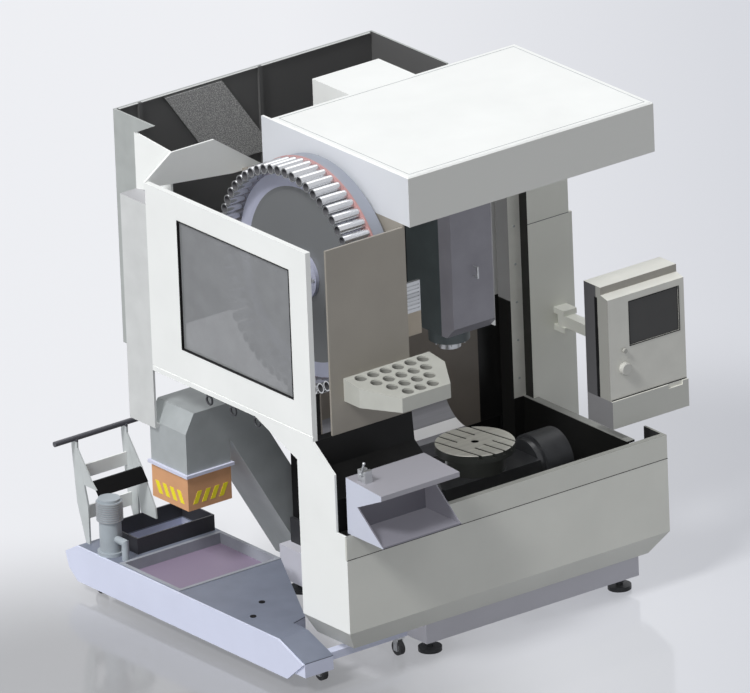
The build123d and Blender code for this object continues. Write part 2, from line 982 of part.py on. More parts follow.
# Cradle: end discs with journals, and a deck with the table's bearing bore
deck_half = deck_width / 2
with BuildPart() as cradle:
    along_x((cradle_left + slide_gap, cradle_left + cradle_disc), cradle_y, cradle_z, cradle_disc_radius)
    along_x((cradle_right - cradle_disc, cradle_right - slide_gap), cradle_y, cradle_z, cradle_disc_radius)
    along_x((cradle_left - journal_length, cradle_left + cradle_disc), cradle_y, cradle_z, journal_radius)
    along_x((cradle_right - cradle_disc, cradle_right + journal_length), cradle_y, cradle_z, journal_radius)
    prism_x(
        (
            (cradle_y - deck_half, deck_top),
            (cradle_y + deck_half, deck_top),
            (cradle_y + deck_half, deck_bottom + deck_chamfer),
            (cradle_y + deck_half - deck_chamfer, deck_bottom),
            (cradle_y - deck_half + deck_chamfer, deck_bottom),
            (cradle_y - deck_half, deck_bottom + deck_chamfer),
        ),
        (cradle_left + cradle_disc, cradle_right - cradle_disc),
    )
    upright(
        spindle_x,
        cradle_y,
        (deck_top - table_spigot - slide_gap, deck_top + overrun),
        table_spigot_radius + running_clearance,
        Mode.SUBTRACT,
    )
finish(cradle, "cradle")

# Rotary table: disc, body and spigot, with five tee slots
slot_floor = table_top - slot_depth
foot_floor = slot_floor - slot_foot_depth


def slot_spans():
    """Middle and length of every slot, across the slots and along them."""
    reach = table_radius + overrun
    for index in (-2, 2):
        yield index * slot_pitch, 0, 2 * reach
    for index in (-1, 0, 1):
        for side in (-1, 1):
            yield index * slot_pitch, side * (center_island + reach) / 2, reach - center_island


with BuildPart() as rotary_table:
    upright(spindle_x, cradle_y, (table_top - table_disc, table_top), table_radius)
    chamfer(rotary_table.edges().group_by(Axis.Z)[-1], table_edge)
    upright(spindle_x, cradle_y, (deck_top + slide_gap, table_top - table_disc), table_body_radius)
    upright(spindle_x, cradle_y, (deck_top - table_spigot, deck_top + slide_gap), table_spigot_radius)
    with BuildSketch(at_z(foot_floor)) as slot_feet:
        for across, along, length in slot_spans():
            turn = radians(slot_angle)
            place = (
                spindle_x + across * cos(turn) - along * sin(turn),
                cradle_y + across * sin(turn) + along * cos(turn),
            )
            with Locations(place):
                Rectangle(slot_foot_width, length, rotation=slot_angle)
    extrude(to_extrude=slot_feet.sketch, amount=slot_foot_depth, mode=Mode.SUBTRACT)
    with BuildSketch(at_z(slot_floor)) as slot_mouths:
        for across, along, length in slot_spans():
            turn = radians(slot_angle)
            place = (
                spindle_x + across * cos(turn) - along * sin(turn),
                cradle_y + across * sin(turn) + along * cos(turn),
            )
            with Locations(place):
                Rectangle(slot_width, length, rotation=slot_angle)
    extrude(to_extrude=slot_mouths.sketch, amount=slot_depth + overrun, mode=Mode.SUBTRACT)
    upright(spindle_x, cradle_y, (table_top - table_bore_depth, table_top + overrun), table_bore_radius, Mode.SUBTRACT)
finish(rotary_table, "rotary_table")

# Saddle: a box that rides the rails and holds the ram
saddle_left = spindle_x - saddle_width / 2
saddle_right = spindle_x + saddle_width / 2
ram_left = spindle_x - ram_width / 2
ram_right = spindle_x + ram_width / 2
with BuildPart() as x_saddle:
    block((saddle_left, saddle_right), (column_front, column_back), (rail_top + slide_gap, saddle_top))
    block(
        (ram_left - slide_gap, ram_right + slide_gap),
        (column_front - overrun, column_back + overrun),
        (ram_bottom - slide_gap, ram_top + slide_gap),
        Mode.SUBTRACT,
    )
finish(x_saddle, "x_saddle")

# Ram: a long beam with an upright slide plate at its front
ram_front = head_back + slide_gap
with BuildPart() as y_ram:
    block((ram_left, ram_right), (ram_front, ram_front + ram_length), (ram_bottom, ram_top))
    block(
        (spindle_x - slide_plate_width / 2, spindle_x + slide_plate_width / 2),
        (ram_front, ram_front + slide_plate),
        (ram_bottom - slide_plate_drop, ram_top + slide_plate_lift),
    )
finish(y_ram, "y_ram")

# Spindle head: slide box with a round spindle housing below
head_left = spindle_x - head_width / 2
head_right = spindle_x + head_width / 2
housing_low = head_bottom - housing_length
with BuildPart() as spindle_head:
    block((head_left, head_right), (head_front, head_back), (head_bottom, head_top))
    upright(spindle_x, spindle_y, (housing_low, head_bottom), housing_radius)
    upright(
        spindle_x,
        spindle_y,
        (housing_low - overrun, housing_low + spindle_shaft_length),
        spindle_shaft_radius + running_clearance,
        Mode.SUBTRACT,
    )
finish(spindle_head, "spindle_head")

# Head cover: a folded hood in front of the head, tapered at its foot
with BuildPart() as head_cover:
    prism_x(
        (
            (head_front, head_top),
            (cover_front, head_top),
            (cover_front, head_bottom + cover_low_chamfer),
            (cover_front + cover_low_chamfer, head_bottom),
            (head_front, head_bottom),
        ),
        (head_left, head_right),
    )
    chamfer(
        head_cover.edges().filter_by(Axis.Z).group_by(Axis.Y)[0].sort_by(Axis.X)[-1],
        cover_side_chamfer,
    )
finish(head_cover, "head_cover")

# Spindle: shaft, flange and nose with a tool taper
with BuildPart() as spindle:
    upright(
        spindle_x, spindle_y, (housing_low, housing_low + spindle_shaft_length - overrun), spindle_shaft_radius
    )
    upright(
        spindle_x,
        spindle_y,
        (spindle_nose, housing_low - slide_gap),
        spindle_nose_radius,
    )
    upright(spindle_x, spindle_y, (housing_low - slide_gap, housing_low), spindle_shaft_radius)
    with Locations((spindle_x - datum_x, spindle_y - datum_y, spindle_nose + taper_depth / 2)):
        Cone(taper_mouth_radius, taper_end_radius, taper_depth, mode=Mode.SUBTRACT)
finish(spindle, "spindle")

# Magazine carrier: an arm on the column's left with the wheel's axle
with BuildPart() as magazine_carrier:
    block(
        (partition_right, column_left),
        (wheel_y - carrier_front, column_back),
        (wheel_z - carrier_height / 2, wheel_z + carrier_height / 2),
    )
    along_x((partition_right - axle_length, partition_right), wheel_y, wheel_z, axle_radius)
finish(magazine_carrier, "magazine_carrier")

# Wheel: hub, front disc, stepped rim and drum in one turned weldment
disc_front = pocket_front + disc_set_back
rim_front = pocket_front + rim_set_back
hub_front = partition_right - axle_length
with BuildPart() as magazine_wheel:
    with BuildSketch(at_z(wheel_z)):
        with BuildLine():
            Polyline(
                (hub_front, wheel_y - axle_radius - running_clearance),
                (hub_front, wheel_y - hub_radius),
                (disc_front + hub_proud, wheel_y - hub_radius),
                (disc_front + hub_proud, wheel_y - disc_radius),
                (rim_front, wheel_y - disc_radius - hub_proud),
                (rim_front, wheel_y - ring_inner_radius),
                (drum_front, wheel_y - ring_inner_radius),
                (drum_front, wheel_y - drum_radius),
                (drum_back, wheel_y - drum_radius),
                (drum_back, wheel_y - drum_radius + drum_wall),
                (drum_front + drum_wall, wheel_y - drum_radius + drum_wall),
                (drum_front + drum_wall, wheel_y - hub_radius),
                (drum_back, wheel_y - hub_radius),
                (drum_back, wheel_y - axle_radius - running_clearance),
                close=True,
            )
        make_face()
    revolve(axis=Axis((-datum_x, wheel_y - datum_y, wheel_z), (1, 0, 0)))
finish(magazine_wheel, "magazine_wheel")

with BuildPart() as magazine_ring:
    along_x((pocket_back, drum_front), wheel_y, wheel_z, ring_outer_radius)
    along_x((pocket_back - overrun, drum_front + overrun), wheel_y, wheel_z, ring_inner_radius, Mode.SUBTRACT)
finish(magazine_ring, "magazine_ring")

# Tool pockets: a ring of many-sided tubes, open to the left
with BuildPart() as tool_pockets:
    with BuildSketch(at_x(pocket_front)) as pocket_walls:
        with Locations((wheel_y, wheel_z)):
            with PolarLocations(pocket_circle_radius, pocket_count):
                RegularPolygon(pocket_radius, pocket_sides)
    extrude(to_extrude=pocket_walls.sketch, amount=pocket_length)
    with BuildSketch(at_x(pocket_front)) as pocket_bores:
        with Locations((wheel_y, wheel_z)):
            with PolarLocations(pocket_circle_radius, pocket_count):
                RegularPolygon(pocket_bore_radius, pocket_sides)
    extrude(to_extrude=pocket_bores.sketch, amount=pocket_bore_depth, mode=Mode.SUBTRACT)
finish(tool_pockets, "tool_pockets")

# Tool changer: a gripper unit with a ribbed panel over it, on a bracket through the gate
changer_left = partition_right + changer_left_gap
changer_right = changer_left + changer_width
with BuildPart() as changer_unit:
    block(
        (changer_left, changer_right),
        (changer_front, changer_front + changer_depth),
        (changer_panel_low - changer_unit_height, changer_panel_low),
    )
    block(
        (partition_right, changer_left),
        (changer_front, changer_front + changer_depth),
        (changer_gate_low - changer_rib_width - panel, changer_gate_low - changer_rib_width),
    )
    block(
        (changer_left - panel, changer_left),
        (changer_front, changer_front + changer_depth),
        (changer_gate_low - changer_rib_width - panel, changer_panel_low),
    )
finish(changer_unit, "changer_unit")

with BuildPart() as changer_panel:
    block(
        (changer_left, changer_right),
        (changer_front, changer_front + changer_panel_thickness),
        (changer_panel_low, changer_panel_high),
    )
    rib_pitch = (changer_panel_high - changer_panel_low) / (changer_rib_count + 1)
    for index in range(1, changer_rib_count + 1):
        rib_middle = changer_panel_low + index * rib_pitch
        block(
            (changer_left + changer_rib_width, changer_right - changer_rib_width),
            (changer_front - overrun, changer_front + changer_rib_depth),
            (rib_middle - changer_rib_width / 2, rib_middle + changer_rib_width / 2),
            Mode.SUBTRACT,
        )
finish(changer_panel, "changer_panel")

# Tool rack: a wedge-topped block with rows of holder sockets
rack_back = magazine_front
rack_nose = rack_back - rack_depth
rack_top = rack_bottom + rack_back_height
rack_slope = (rack_back_height - rack_front_height) / rack_depth
with BuildPart() as tool_rack:
    prism_z(
        (
            (rack_center - rack_width / 2, rack_back),
            (rack_center - rack_width / 2, rack_back - rack_shoulder),
            (rack_center - rack_nose_width / 2, rack_nose),
            (rack_center + rack_nose_width / 2, rack_nose),
            (rack_center + rack_width / 2, rack_back - rack_shoulder),
            (rack_center + rack_width / 2, rack_back),
        ),
        (rack_bottom, rack_top),
    )
    prism_x(
        (
            (rack_nose - overrun, rack_bottom + rack_front_height - overrun * rack_slope),
            (rack_back, rack_top),
            (rack_back, rack_top + overrun),
            (rack_nose - overrun, rack_top + overrun),
        ),
        (rack_center - rack_width, rack_center + rack_width),
        Mode.SUBTRACT,
    )
    with BuildSketch(at_z(rack_top)) as sockets:
        for row, count in enumerate(rack_rows):
            row_y = rack_back - rack_first_row - row * rack_row_pitch
            with Locations((rack_center, row_y)):
                with GridLocations(rack_pitch, rack_row_pitch, count, 1):
                    RegularPolygon(rack_hole_radius, socket_sides)
    extrude(to_extrude=sockets.sketch, amount=-rack_hole_depth - rack_slope * rack_depth, mode=Mode.SUBTRACT)
finish(tool_rack, "tool_rack")

# Front tray: folded sides with an open mouth, a floor, a back and a bench top
tray_right = tray_left + tray_width
tray_height = tray_top - apron_top
throat_y = tray_back - (tray_back + tray_front) * tray_throat_share
throat_z = apron_top + tray_height * tray_throat_height_share
bench_low = tray_top - bench_thickness
tray_side = (
    (tray_back, apron_top),
    (-tray_front, apron_top),
    (throat_y, throat_z),
    (-tray_front, bench_low - bench_drop),
    (tray_back, bench_low),
)
with BuildPart() as front_tray:
    prism_x(tray_side, (tray_left, tray_left + tray_wall))
    prism_x(tray_side, (tray_right - tray_wall, tray_right))
    block((tray_left, tray_right), (-tray_front, tray_back), (apron_top, apron_top + tray_wall))
    block((tray_left, tray_right), (tray_back - tray_wall, tray_back), (apron_top, bench_low))
    prism_x(
        (
            (tray_back, bench_low),
            (-tray_front, bench_low - bench_drop),
            (-tray_front, tray_top - bench_drop),
            (tray_back, tray_top),
        ),
        (tray_left, tray_right),
    )
finish(front_tray, "front_tray")

# Tool clamp on the bench: two jaws on a foot, and a lever on its pin
clamp_right = clamp_x + clamp_width
clamp_back = tray_back - clamp_set_back
clamp_front = clamp_back - clamp_depth
jaw_low = clamp_front + (clamp_depth - clamp_jaw_gap) / 2
bench_slope = bench_drop / (tray_front + tray_back)
clamp_foot = tray_top - clamp_set_back * bench_slope
clamp_pin_z = clamp_foot + clamp_pin_height
with BuildPart() as tray_clamp:
    prism_x(
        (
            (clamp_back, clamp_foot),
            (clamp_front, clamp_foot - clamp_depth * bench_slope),
            (clamp_front, clamp_foot + clamp_height),
            (clamp_back, clamp_foot + clamp_height),
        ),
        (clamp_x, clamp_right),
    )
    block(
        (clamp_x - overrun, clamp_right + overrun),
        (jaw_low, jaw_low + clamp_jaw_gap),
        (clamp_pin_z + clamp_pin_radius + overrun, clamp_foot + clamp_height + overrun),
        Mode.SUBTRACT,
    )
    along_x(
        (clamp_x - lever_hub - slide_gap - overrun, clamp_x), (clamp_front + clamp_back) / 2, clamp_pin_z,
        clamp_pin_radius,
    )
finish(tray_clamp, "tray_clamp")

lever_span = (clamp_x - slide_gap - lever_hub, clamp_x - slide_gap)
lever_y = (clamp_front + clamp_back) / 2
lever_x = (lever_span[0] + lever_span[1]) / 2
with BuildPart() as clamp_lever:
    along_x(lever_span, lever_y, clamp_pin_z, lever_hub_radius)
    with Locations(Location((lever_x - datum_x, lever_y - datum_y, clamp_pin_z), (lever_lean, 0, 0))):
        Cylinder(lever_radius, lever_length, align=(Align.CENTER, Align.CENTER, Align.MIN))
    along_x(
        (lever_span[0] - overrun, lever_span[1] + overrun), lever_y, clamp_pin_z,
        clamp_pin_radius + running_clearance, Mode.SUBTRACT,
    )
finish(clamp_lever, "clamp_lever")

# Boom: a square tube with a hub at each end
with BuildPart() as pendant_boom:
    upright(boom_pivot_x, boom_pivot_y, (boom_height - hub_half, boom_height + hub_half), boom_hub_radius)
    block(
        (boom_pivot_x - hub_half, boom_pivot_x + hub_half),
        (swivel_y, boom_pivot_y),
        (boom_height - hub_half, boom_height + hub_half),
    )
    upright(swivel_x, swivel_y, (boom_height - hub_half, boom_height + hub_half), swivel_hub_radius)
    for x, y in ((boom_pivot_x, boom_pivot_y), (swivel_x, swivel_y)):
        upright(
            x,
            y,
            (boom_height - boom_section, boom_height + boom_section),
            boom_pin_radius + running_clearance,
            Mode.SUBTRACT,
        )
finish(pendant_boom, "pendant_boom")

# Pendant: lower box, panel and hood, with recesses for the screen, and ears for the swivel
screen_left = pendant_right - screen_right_margin - screen_width
screen_high = pendant_top - pendant_hood - screen_top_margin
knob_x = pendant_left + knob_left_margin
knob_z = pendant_bottom + knob_height
button_x = pendant_left + button_left_margin
button_z = pendant_bottom + button_height
panel_face = pendant_front + pendant_skin
hood_low = pendant_top - pendant_hood
vent_low = pendant_bottom + pendant_low_box + pendant_panel / 2 - vent_height / 2
vent_y = (panel_face + pendant_back) / 2
with BuildPart() as pendant_box:
    prism_x(
        (
            (pendant_back, pendant_bottom),
            (pendant_back, pendant_top),
            (pendant_front + pendant_ledge, pendant_top),
            (pendant_front + pendant_ledge, hood_low + pendant_skin),
            (panel_face, hood_low),
            (panel_face, pendant_bottom + pendant_low_box),
            (pendant_front, pendant_bottom + pendant_low_box),
            (pendant_front, pendant_bottom),
        ),
        (pendant_left, pendant_right),
    )
    block(
        (screen_left, screen_left + screen_width),
        (panel_face - overrun, panel_face + screen_recess),
        (screen_high - screen_height, screen_high),
        Mode.SUBTRACT,
    )
    block(
        (pendant_left - overrun, pendant_left + vent_depth),
        (vent_y - vent_width / 2, vent_y + vent_width / 2),
        (vent_low, vent_low + vent_height),
        Mode.SUBTRACT,
    )
    block(
        (pendant_right - pull_width - screen_right_margin, pendant_right - screen_right_margin),
        (pendant_front - overrun, pendant_front + pull_depth),
        (pendant_bottom + pendant_low_box - pull_height, pendant_bottom + pendant_low_box + overrun),
        Mode.SUBTRACT,
    )
    along_y(
        knob_x,
        (panel_face - overrun, panel_face + knob_stem_length + slide_gap),
        knob_z,
        knob_stem_radius + running_clearance,
        Mode.SUBTRACT,
    )
    along_y(
        button_x,
        (panel_face - overrun, panel_face + button_stem_length + button_travel + slide_gap),
        button_z,
        button_stem_radius + running_clearance,
        Mode.SUBTRACT,
    )
    for z in (boom_height - hub_half - slide_gap - hinge_ear, boom_height + hub_half + slide_gap):
        block(
            (swivel_x - swivel_hub_radius, swivel_x + swivel_hub_radius),
            (pendant_back, swivel_y + swivel_hub_radius),
            (z, z + hinge_ear),
        )
    upright(
        swivel_x,
        swivel_y,
        (boom_height - hub_half - hinge_ear, boom_height + hub_half + hinge_ear),
        boom_pin_radius,
    )
finish(pendant_box, "pendant_box")

with BuildPart() as pendant_screen:
    block(
        (screen_left, screen_left + screen_width),
        (panel_face + screen_recess - screen_thickness, panel_face + screen_recess),
        (screen_high - screen_height, screen_high),
    )
finish(pendant_screen, "pendant_screen")

with BuildPart() as pendant_knob:
    along_y(knob_x, (panel_face - slide_gap - knob_length, panel_face - slide_gap), knob_z, knob_radius)
    chamfer(pendant_knob.edges().group_by(Axis.Y)[0], knob_edge)
    along_y(knob_x, (panel_face - slide_gap, panel_face + knob_stem_length), knob_z, knob_stem_radius)
finish(pendant_knob, "pendant_knob")

button_face = panel_face - button_travel - slide_gap
with BuildPart() as pendant_button:
    along_y(button_x, (button_face - button_length, button_face), button_z, button_radius)
    along_y(button_x, (button_face, panel_face + button_stem_length), button_z, button_stem_radius)
finish(pendant_button, "pendant_button")

# Chip conveyor: a duct with its intake low on the right, which climbs and drops into its outlet leg
conveyor_back = conveyor_front + conveyor_width
leg_right = conveyor_left + conveyor_leg
rise = tan(radians(conveyor_angle))
throat_height = conveyor_outlet + conveyor_throat
incline_top_x = leg_right + conveyor_thickness - (conveyor_top - throat_height) / rise
incline_run_x = leg_right + conveyor_thickness + (throat_height - conveyor_run_top) / rise
incline_low_x = leg_right + (throat_height - conveyor_low) / rise
conveyor_outline = (
    (conveyor_left, conveyor_outlet),
    (conveyor_left, conveyor_shoulder),
    (conveyor_left + conveyor_chamfer, conveyor_top),
    (incline_top_x, conveyor_top),
    (incline_run_x, conveyor_run_top),
    (conveyor_right, conveyor_run_top),
    (conveyor_right, conveyor_low),
    (incline_low_x, conveyor_low),
    (leg_right, throat_height),
    (leg_right, conveyor_outlet),
)
with BuildPart() as conveyor_duct:
    prism_y(conveyor_outline, (conveyor_front, conveyor_back))
    with BuildSketch(at_y(conveyor_front + conveyor_wall)) as duct_space:
        Polygon(*conveyor_outline, align=None)
        offset(amount=-conveyor_wall, mode=Mode.REPLACE, kind=Kind.INTERSECTION)
    extrude(to_extrude=duct_space.sketch, amount=2 * conveyor_wall - conveyor_width, mode=Mode.SUBTRACT)
    block(
        (conveyor_left + conveyor_wall, leg_right - conveyor_wall),
        (conveyor_front + conveyor_wall, conveyor_back - conveyor_wall),
        (conveyor_outlet - overrun, conveyor_outlet + 2 * conveyor_wall),
        Mode.SUBTRACT,
    )
    block(
        (conveyor_right - 2 * conveyor_wall, conveyor_right + overrun),
        (conveyor_front + conveyor_wall, conveyor_back - conveyor_wall),
        (conveyor_low + conveyor_wall, conveyor_run_top - conveyor_wall),
        Mode.SUBTRACT,
    )
    for x in (incline_run_x, conveyor_right - conveyor_foot):
        for y in (conveyor_front, conveyor_back - conveyor_foot):
            block((x, x + conveyor_foot), (y, y + conveyor_foot), (0, conveyor_low))
finish(conveyor_duct, "conveyor_duct")

with BuildPart() as outlet_skirt:
    block((conveyor_left, leg_right), (conveyor_front, conveyor_back), (outlet_skirt_bottom, conveyor_outlet))
    block(
        (conveyor_left - outlet_flange, leg_right + outlet_flange),
        (conveyor_front - outlet_flange, conveyor_back + outlet_flange),
        (conveyor_outlet - outlet_flange_height, conveyor_outlet),
    )
    block(
        (conveyor_left + conveyor_wall, leg_right - conveyor_wall),
        (conveyor_front + conveyor_wall, conveyor_back - conveyor_wall),
        (outlet_skirt_bottom - overrun, conveyor_outlet + overrun),
        Mode.SUBTRACT,
    )
finish(outlet_skirt, "outlet_skirt")

# Coolant tank: a tub that widens to the back, its left side plate and a cross beam for the front casters
tub_left = tank_left + panel


def tub_outline(wall):
    """Plan of the tub with its walls moved in."""
    return (
        (tub_left + wall, tank_front + wall),
        (tank_nose_right - wall, tank_front + wall),
        (tank_nose_right - wall, tank_nose_back + wall),
        (tank_waist_x - wall, tank_waist_y + wall),
        (tank_right - wall, tank_flare_y + wall),
        (tank_right - wall, tank_back - wall),
        (tub_left + wall, tank_back - wall),
    )


tub_top = tank_top - deck_thickness
with BuildPart() as coolant_tank:
    prism_z(tub_outline(0), (tank_floor, tub_top))
    prism_z(tub_outline(tank_wall), (tank_floor + tank_wall, tub_top + overrun), Mode.SUBTRACT)
    prism_x(
        (
            (tank_front, side_plate_nose),
            (side_plate_shoulder, tank_top),
            (tank_back, tank_top),
            (tank_tail, side_plate_tail_high),
            (side_plate_tail_foot, side_plate_tail_low),
            (tank_back, side_plate_bottom),
            (side_plate_heel, side_plate_bottom),
        ),
        (tank_left, tub_left),
    )
    prism_x(
        (
            (tank_front - overrun, tub_top + overrun),
            (tank_front - overrun, side_plate_nose),
            (tank_front, side_plate_nose),
            (side_plate_shoulder, tub_top),
            (side_plate_shoulder, tub_top + overrun),
        ),
        (tub_left, tank_right),
        Mode.SUBTRACT,
    )
    block(
        (tank_nose_right, cross_beam_end),
        (cross_beam_y - cross_beam_width / 2, cross_beam_y + cross_beam_width / 2),
        (tank_floor, tank_floor + cross_beam_height),
    )
finish(coolant_tank, "coolant_tank")

# Tank cover: the deck, its sloped nose, the strainer's opening and the raised bin
strainer_left = tub_left + strainer_margin
strainer_right = tank_right - strainer_margin
with BuildPart() as tank_cover:
    prism_z(tub_outline(0), (tub_top, tank_top))
    block(
        (tub_left - overrun, tank_right + overrun),
        (tank_front - overrun, side_plate_shoulder),
        (tub_top - overrun, tank_top + overrun),
        Mode.SUBTRACT,
    )
    prism_x(
        (
            (tank_front, side_plate_nose),
            (side_plate_shoulder, tub_top),
            (side_plate_shoulder, tank_top),
            (tank_front, side_plate_nose + deck_thickness),
        ),
        (tub_left, tank_nose_right),
    )
    block((bin_left, bin_right), (bin_front, bin_back), (tank_top, tank_top + bin_height))
    block(
        (bin_left + bin_wall, bin_right - bin_wall),
        (bin_front + bin_wall, bin_back - bin_wall),
        (tub_top - overrun, tank_top + bin_height + overrun),
        Mode.SUBTRACT,
    )
    block(
        (strainer_left, strainer_right),
        (strainer_front, strainer_back),
        (tub_top - overrun, tank_top + overrun),
        Mode.SUBTRACT,
    )
finish(tank_cover, "tank_cover")

with BuildPart() as strainer_tray:
    block((strainer_left, strainer_right), (strainer_front, strainer_back), (tank_top - strainer_depth, tank_top))
    block(
        (strainer_left - strainer_lip, strainer_right + strainer_lip),
        (strainer_front - strainer_lip, strainer_back + strainer_lip),
        (tank_top, tank_top + strainer_lip_height),
    )
    block(
        (strainer_left + deck_thickness, strainer_right - deck_thickness),
        (strainer_front + deck_thickness, strainer_back - deck_thickness),
        (tank_top - strainer_depth + deck_thickness, tank_top + strainer_lip_height + overrun),
        Mode.SUBTRACT,
    )
finish(strainer_tray, "strainer_tray")

# Pump: foot, body, motor and cap, with a mitred pipe into the deck
pump_body_top = tank_top + pump_foot + pump_body
pump_motor_top = pump_body_top + pump_motor
pipe_z = tank_top + pump_foot + pipe_height
with BuildPart() as coolant_pump:
    upright(pump_x, pump_y, (tank_top, tank_top + pump_foot), pump_foot_radius)
    upright(pump_x, pump_y, (tank_top + pump_foot, pump_body_top), pump_body_radius)
    upright(pump_x, pump_y, (pump_body_top, pump_motor_top), pump_motor_radius)
    upright(pump_x, pump_y, (pump_motor_top, pump_motor_top + pump_cap), pump_body_radius)
    with BuildLine() as pipe_path:
        Polyline(
            (pump_x - datum_x, pump_y - datum_y, pipe_z),
            (pump_x - datum_x, pump_y - datum_y - pipe_reach, pipe_z),
            (pump_x - datum_x, pump_y - datum_y - pipe_reach, tank_top),
        )
    with BuildSketch(Plane(origin=pipe_path.line @ 0, z_dir=pipe_path.line % 0)):
        Circle(pipe_radius)
    sweep(path=pipe_path.line, transition=Transition.RIGHT)
finish(coolant_pump, "coolant_pump")

# Pull handle: two curved plates, two braces and a bar
handle_foot_front = tank_back - handle_foot
with BuildPart() as tank_handle:
    for x in (handle_plate_left, handle_plate_right):
        prism_x(
            (
                (handle_foot_front, tank_top),
                (tank_back, tank_top),
                (handle_foot_front + handle_belly_width, tank_top + handle_belly_height),
                (handle_bar_y + handle_neck / 2, handle_bar_z - handle_neck),
                (handle_bar_y + handle_neck / 2, handle_bar_z),
                (handle_bar_y - handle_neck / 2, handle_bar_z),
                (handle_bar_y - handle_neck / 2, handle_bar_z - handle_neck),
                (handle_foot_front, tank_top + handle_belly_height),
            ),
            (x - handle_plate / 2, x + handle_plate / 2),
        )
    for share in handle_brace_share:
        brace_z = tank_top + (handle_bar_z - handle_neck - tank_top) * share
        brace_y = tank_back + (handle_bar_y - tank_back) * share
        block(
            (handle_plate_left, handle_plate_right),
            (brace_y, brace_y + handle_plate),
            (brace_z - handle_brace_height / 2, brace_z + handle_brace_height / 2),
        )
    along_x((handle_bar_left, handle_bar_right), handle_bar_y, handle_bar_z, handle_bar_radius)
finish(tank_handle, "tank_handle")

# Casters: a forked bracket with its pin, and a wheel, at each corner of the tank
fork_half = wheel_width / 2 + fork_gap + fork_wall
with BuildPart() as caster_forks:
    for x, y in zip(caster_x, caster_y):
        block(
            (x - fork_half, x + fork_half),
            (y - caster_plate_size / 2, y + caster_plate_size / 2),
            (tank_floor - caster_plate, tank_floor),
        )
        for side in (-1, 1):
            leg_middle = x + side * (fork_half - fork_wall / 2)
            block(
                (leg_middle - fork_wall / 2, leg_middle + fork_wall / 2),
                (y - fork_leg / 2, y + fork_leg / 2),
                (wheel_radius - fork_leg / 2, tank_floor - caster_plate),
            )
        along_x((x - fork_half, x + fork_half), y, wheel_radius, caster_pin_radius)
finish(caster_forks, "caster_forks")

caster_names = ("front_left", "front_right", "rear_left", "rear_right")
for name, x, y in zip(caster_names, caster_x, caster_y):
    with BuildPart() as caster_wheel:
        along_x((x - wheel_width / 2, x + wheel_width / 2), y, wheel_radius, wheel_radius)
        along_x(
            (x - wheel_width, x + wheel_width), y, wheel_radius, caster_pin_radius + running_clearance, Mode.SUBTRACT
        )
    finish(caster_wheel, f"caster_wheel_{name}")
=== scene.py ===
"""Dressed five-axis machining centre: finishes, small fittings, studio and camera.

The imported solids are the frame. Each sub-assembly below gives its nodes their finishes and adds
the fittings that stand on them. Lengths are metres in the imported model's frame: X to the right
along the front, Y to the back and Z up.
"""
from __future__ import annotations

import logging
import math
from dataclasses import dataclass, field, replace
from enum import Enum
from typing import Any

import bmesh
import bpy
from mathutils import Matrix, Vector

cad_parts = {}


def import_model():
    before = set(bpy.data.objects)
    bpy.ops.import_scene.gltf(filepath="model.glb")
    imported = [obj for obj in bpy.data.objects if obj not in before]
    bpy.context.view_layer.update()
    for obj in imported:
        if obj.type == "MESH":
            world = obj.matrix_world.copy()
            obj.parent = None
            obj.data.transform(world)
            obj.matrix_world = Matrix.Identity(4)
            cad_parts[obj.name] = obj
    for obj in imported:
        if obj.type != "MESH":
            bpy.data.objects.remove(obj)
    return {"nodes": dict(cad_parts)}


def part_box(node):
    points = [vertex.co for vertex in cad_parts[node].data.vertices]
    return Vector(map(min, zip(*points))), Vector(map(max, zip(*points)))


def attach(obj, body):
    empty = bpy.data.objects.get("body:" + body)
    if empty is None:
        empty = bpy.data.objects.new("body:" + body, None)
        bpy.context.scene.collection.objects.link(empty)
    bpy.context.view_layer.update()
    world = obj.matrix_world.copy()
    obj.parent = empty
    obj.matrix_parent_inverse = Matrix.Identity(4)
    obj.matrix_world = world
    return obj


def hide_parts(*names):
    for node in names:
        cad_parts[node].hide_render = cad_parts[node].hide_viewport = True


LOG = logging.getLogger("machining_centre")
MILLIMETRE = 0.001
WORLD_UP = Vector((0.0, 0.0, 1.0))
TO_RIGHT = Vector((1.0, 0.0, 0.0))

Colour = tuple[float, float, float]
Point = tuple[float, float, float]
Pair = tuple[float, float]
Span = tuple[float | None, float | None]
Socket = bpy.types.NodeSocket

# A zone on a single face is SKIN thick, and a zone's open end lies BEYOND past its node
SKIN = 0.0005
BEYOND = 1.0
ALL: Span = (None, None)
LOW_FACE: Span = (None, SKIN)
HIGH_FACE: Span = (-SKIN, None)

# Facets of round shapes, and the angle above which an edge between them stays sharp
HEXAGON = 6
SCREW_SIDES = 12
DISC_SIDES = 40
WIRE_SIDES = 10
HOOP_STEPS = 28
BALL_SEGMENTS = 20
BALL_RINGS = 12
SHARP_ANGLE = math.radians(35.0)
MERGE_DISTANCE = 1e-6

# Noise in the finishes: how far a brushed one is drawn out, and where the two colours lie
EVEN_STRETCH: Point = (1.0, 1.0, 1.0)
BRUSHED_STRETCH: Point = (0.15, 6.0, 6.0)
NOISE_DETAIL = 4.0
SPECK_STOPS = (0.52, 0.56)
MOTTLE_STOPS = (0.30, 0.70)


class Axis(Enum):
    """Direction in the model's frame."""

    X = 0
    Y = 1
    Z = 2


class Grain(Enum):
    """How a finish varies over its surface."""

    PLAIN = "plain"
    MOTTLED = "mottled"
    BRUSHED = "brushed"
    SPECKLED = "speckled"


def linear(colour: Colour) -> tuple[float, float, float, float]:
    """Turn a display colour of 0 to 255 into a linear one.

    Args:
        colour: Red, green and blue as they look on a screen.

    Returns:
        Linear red, green and blue with full cover.
    """
    shares = [value / 255.0 for value in colour]
    parts = [s / 12.92 if s <= 0.04045 else ((s + 0.055) / 1.055) ** 2.4 for s in shares]
    return (parts[0], parts[1], parts[2], 1.0)


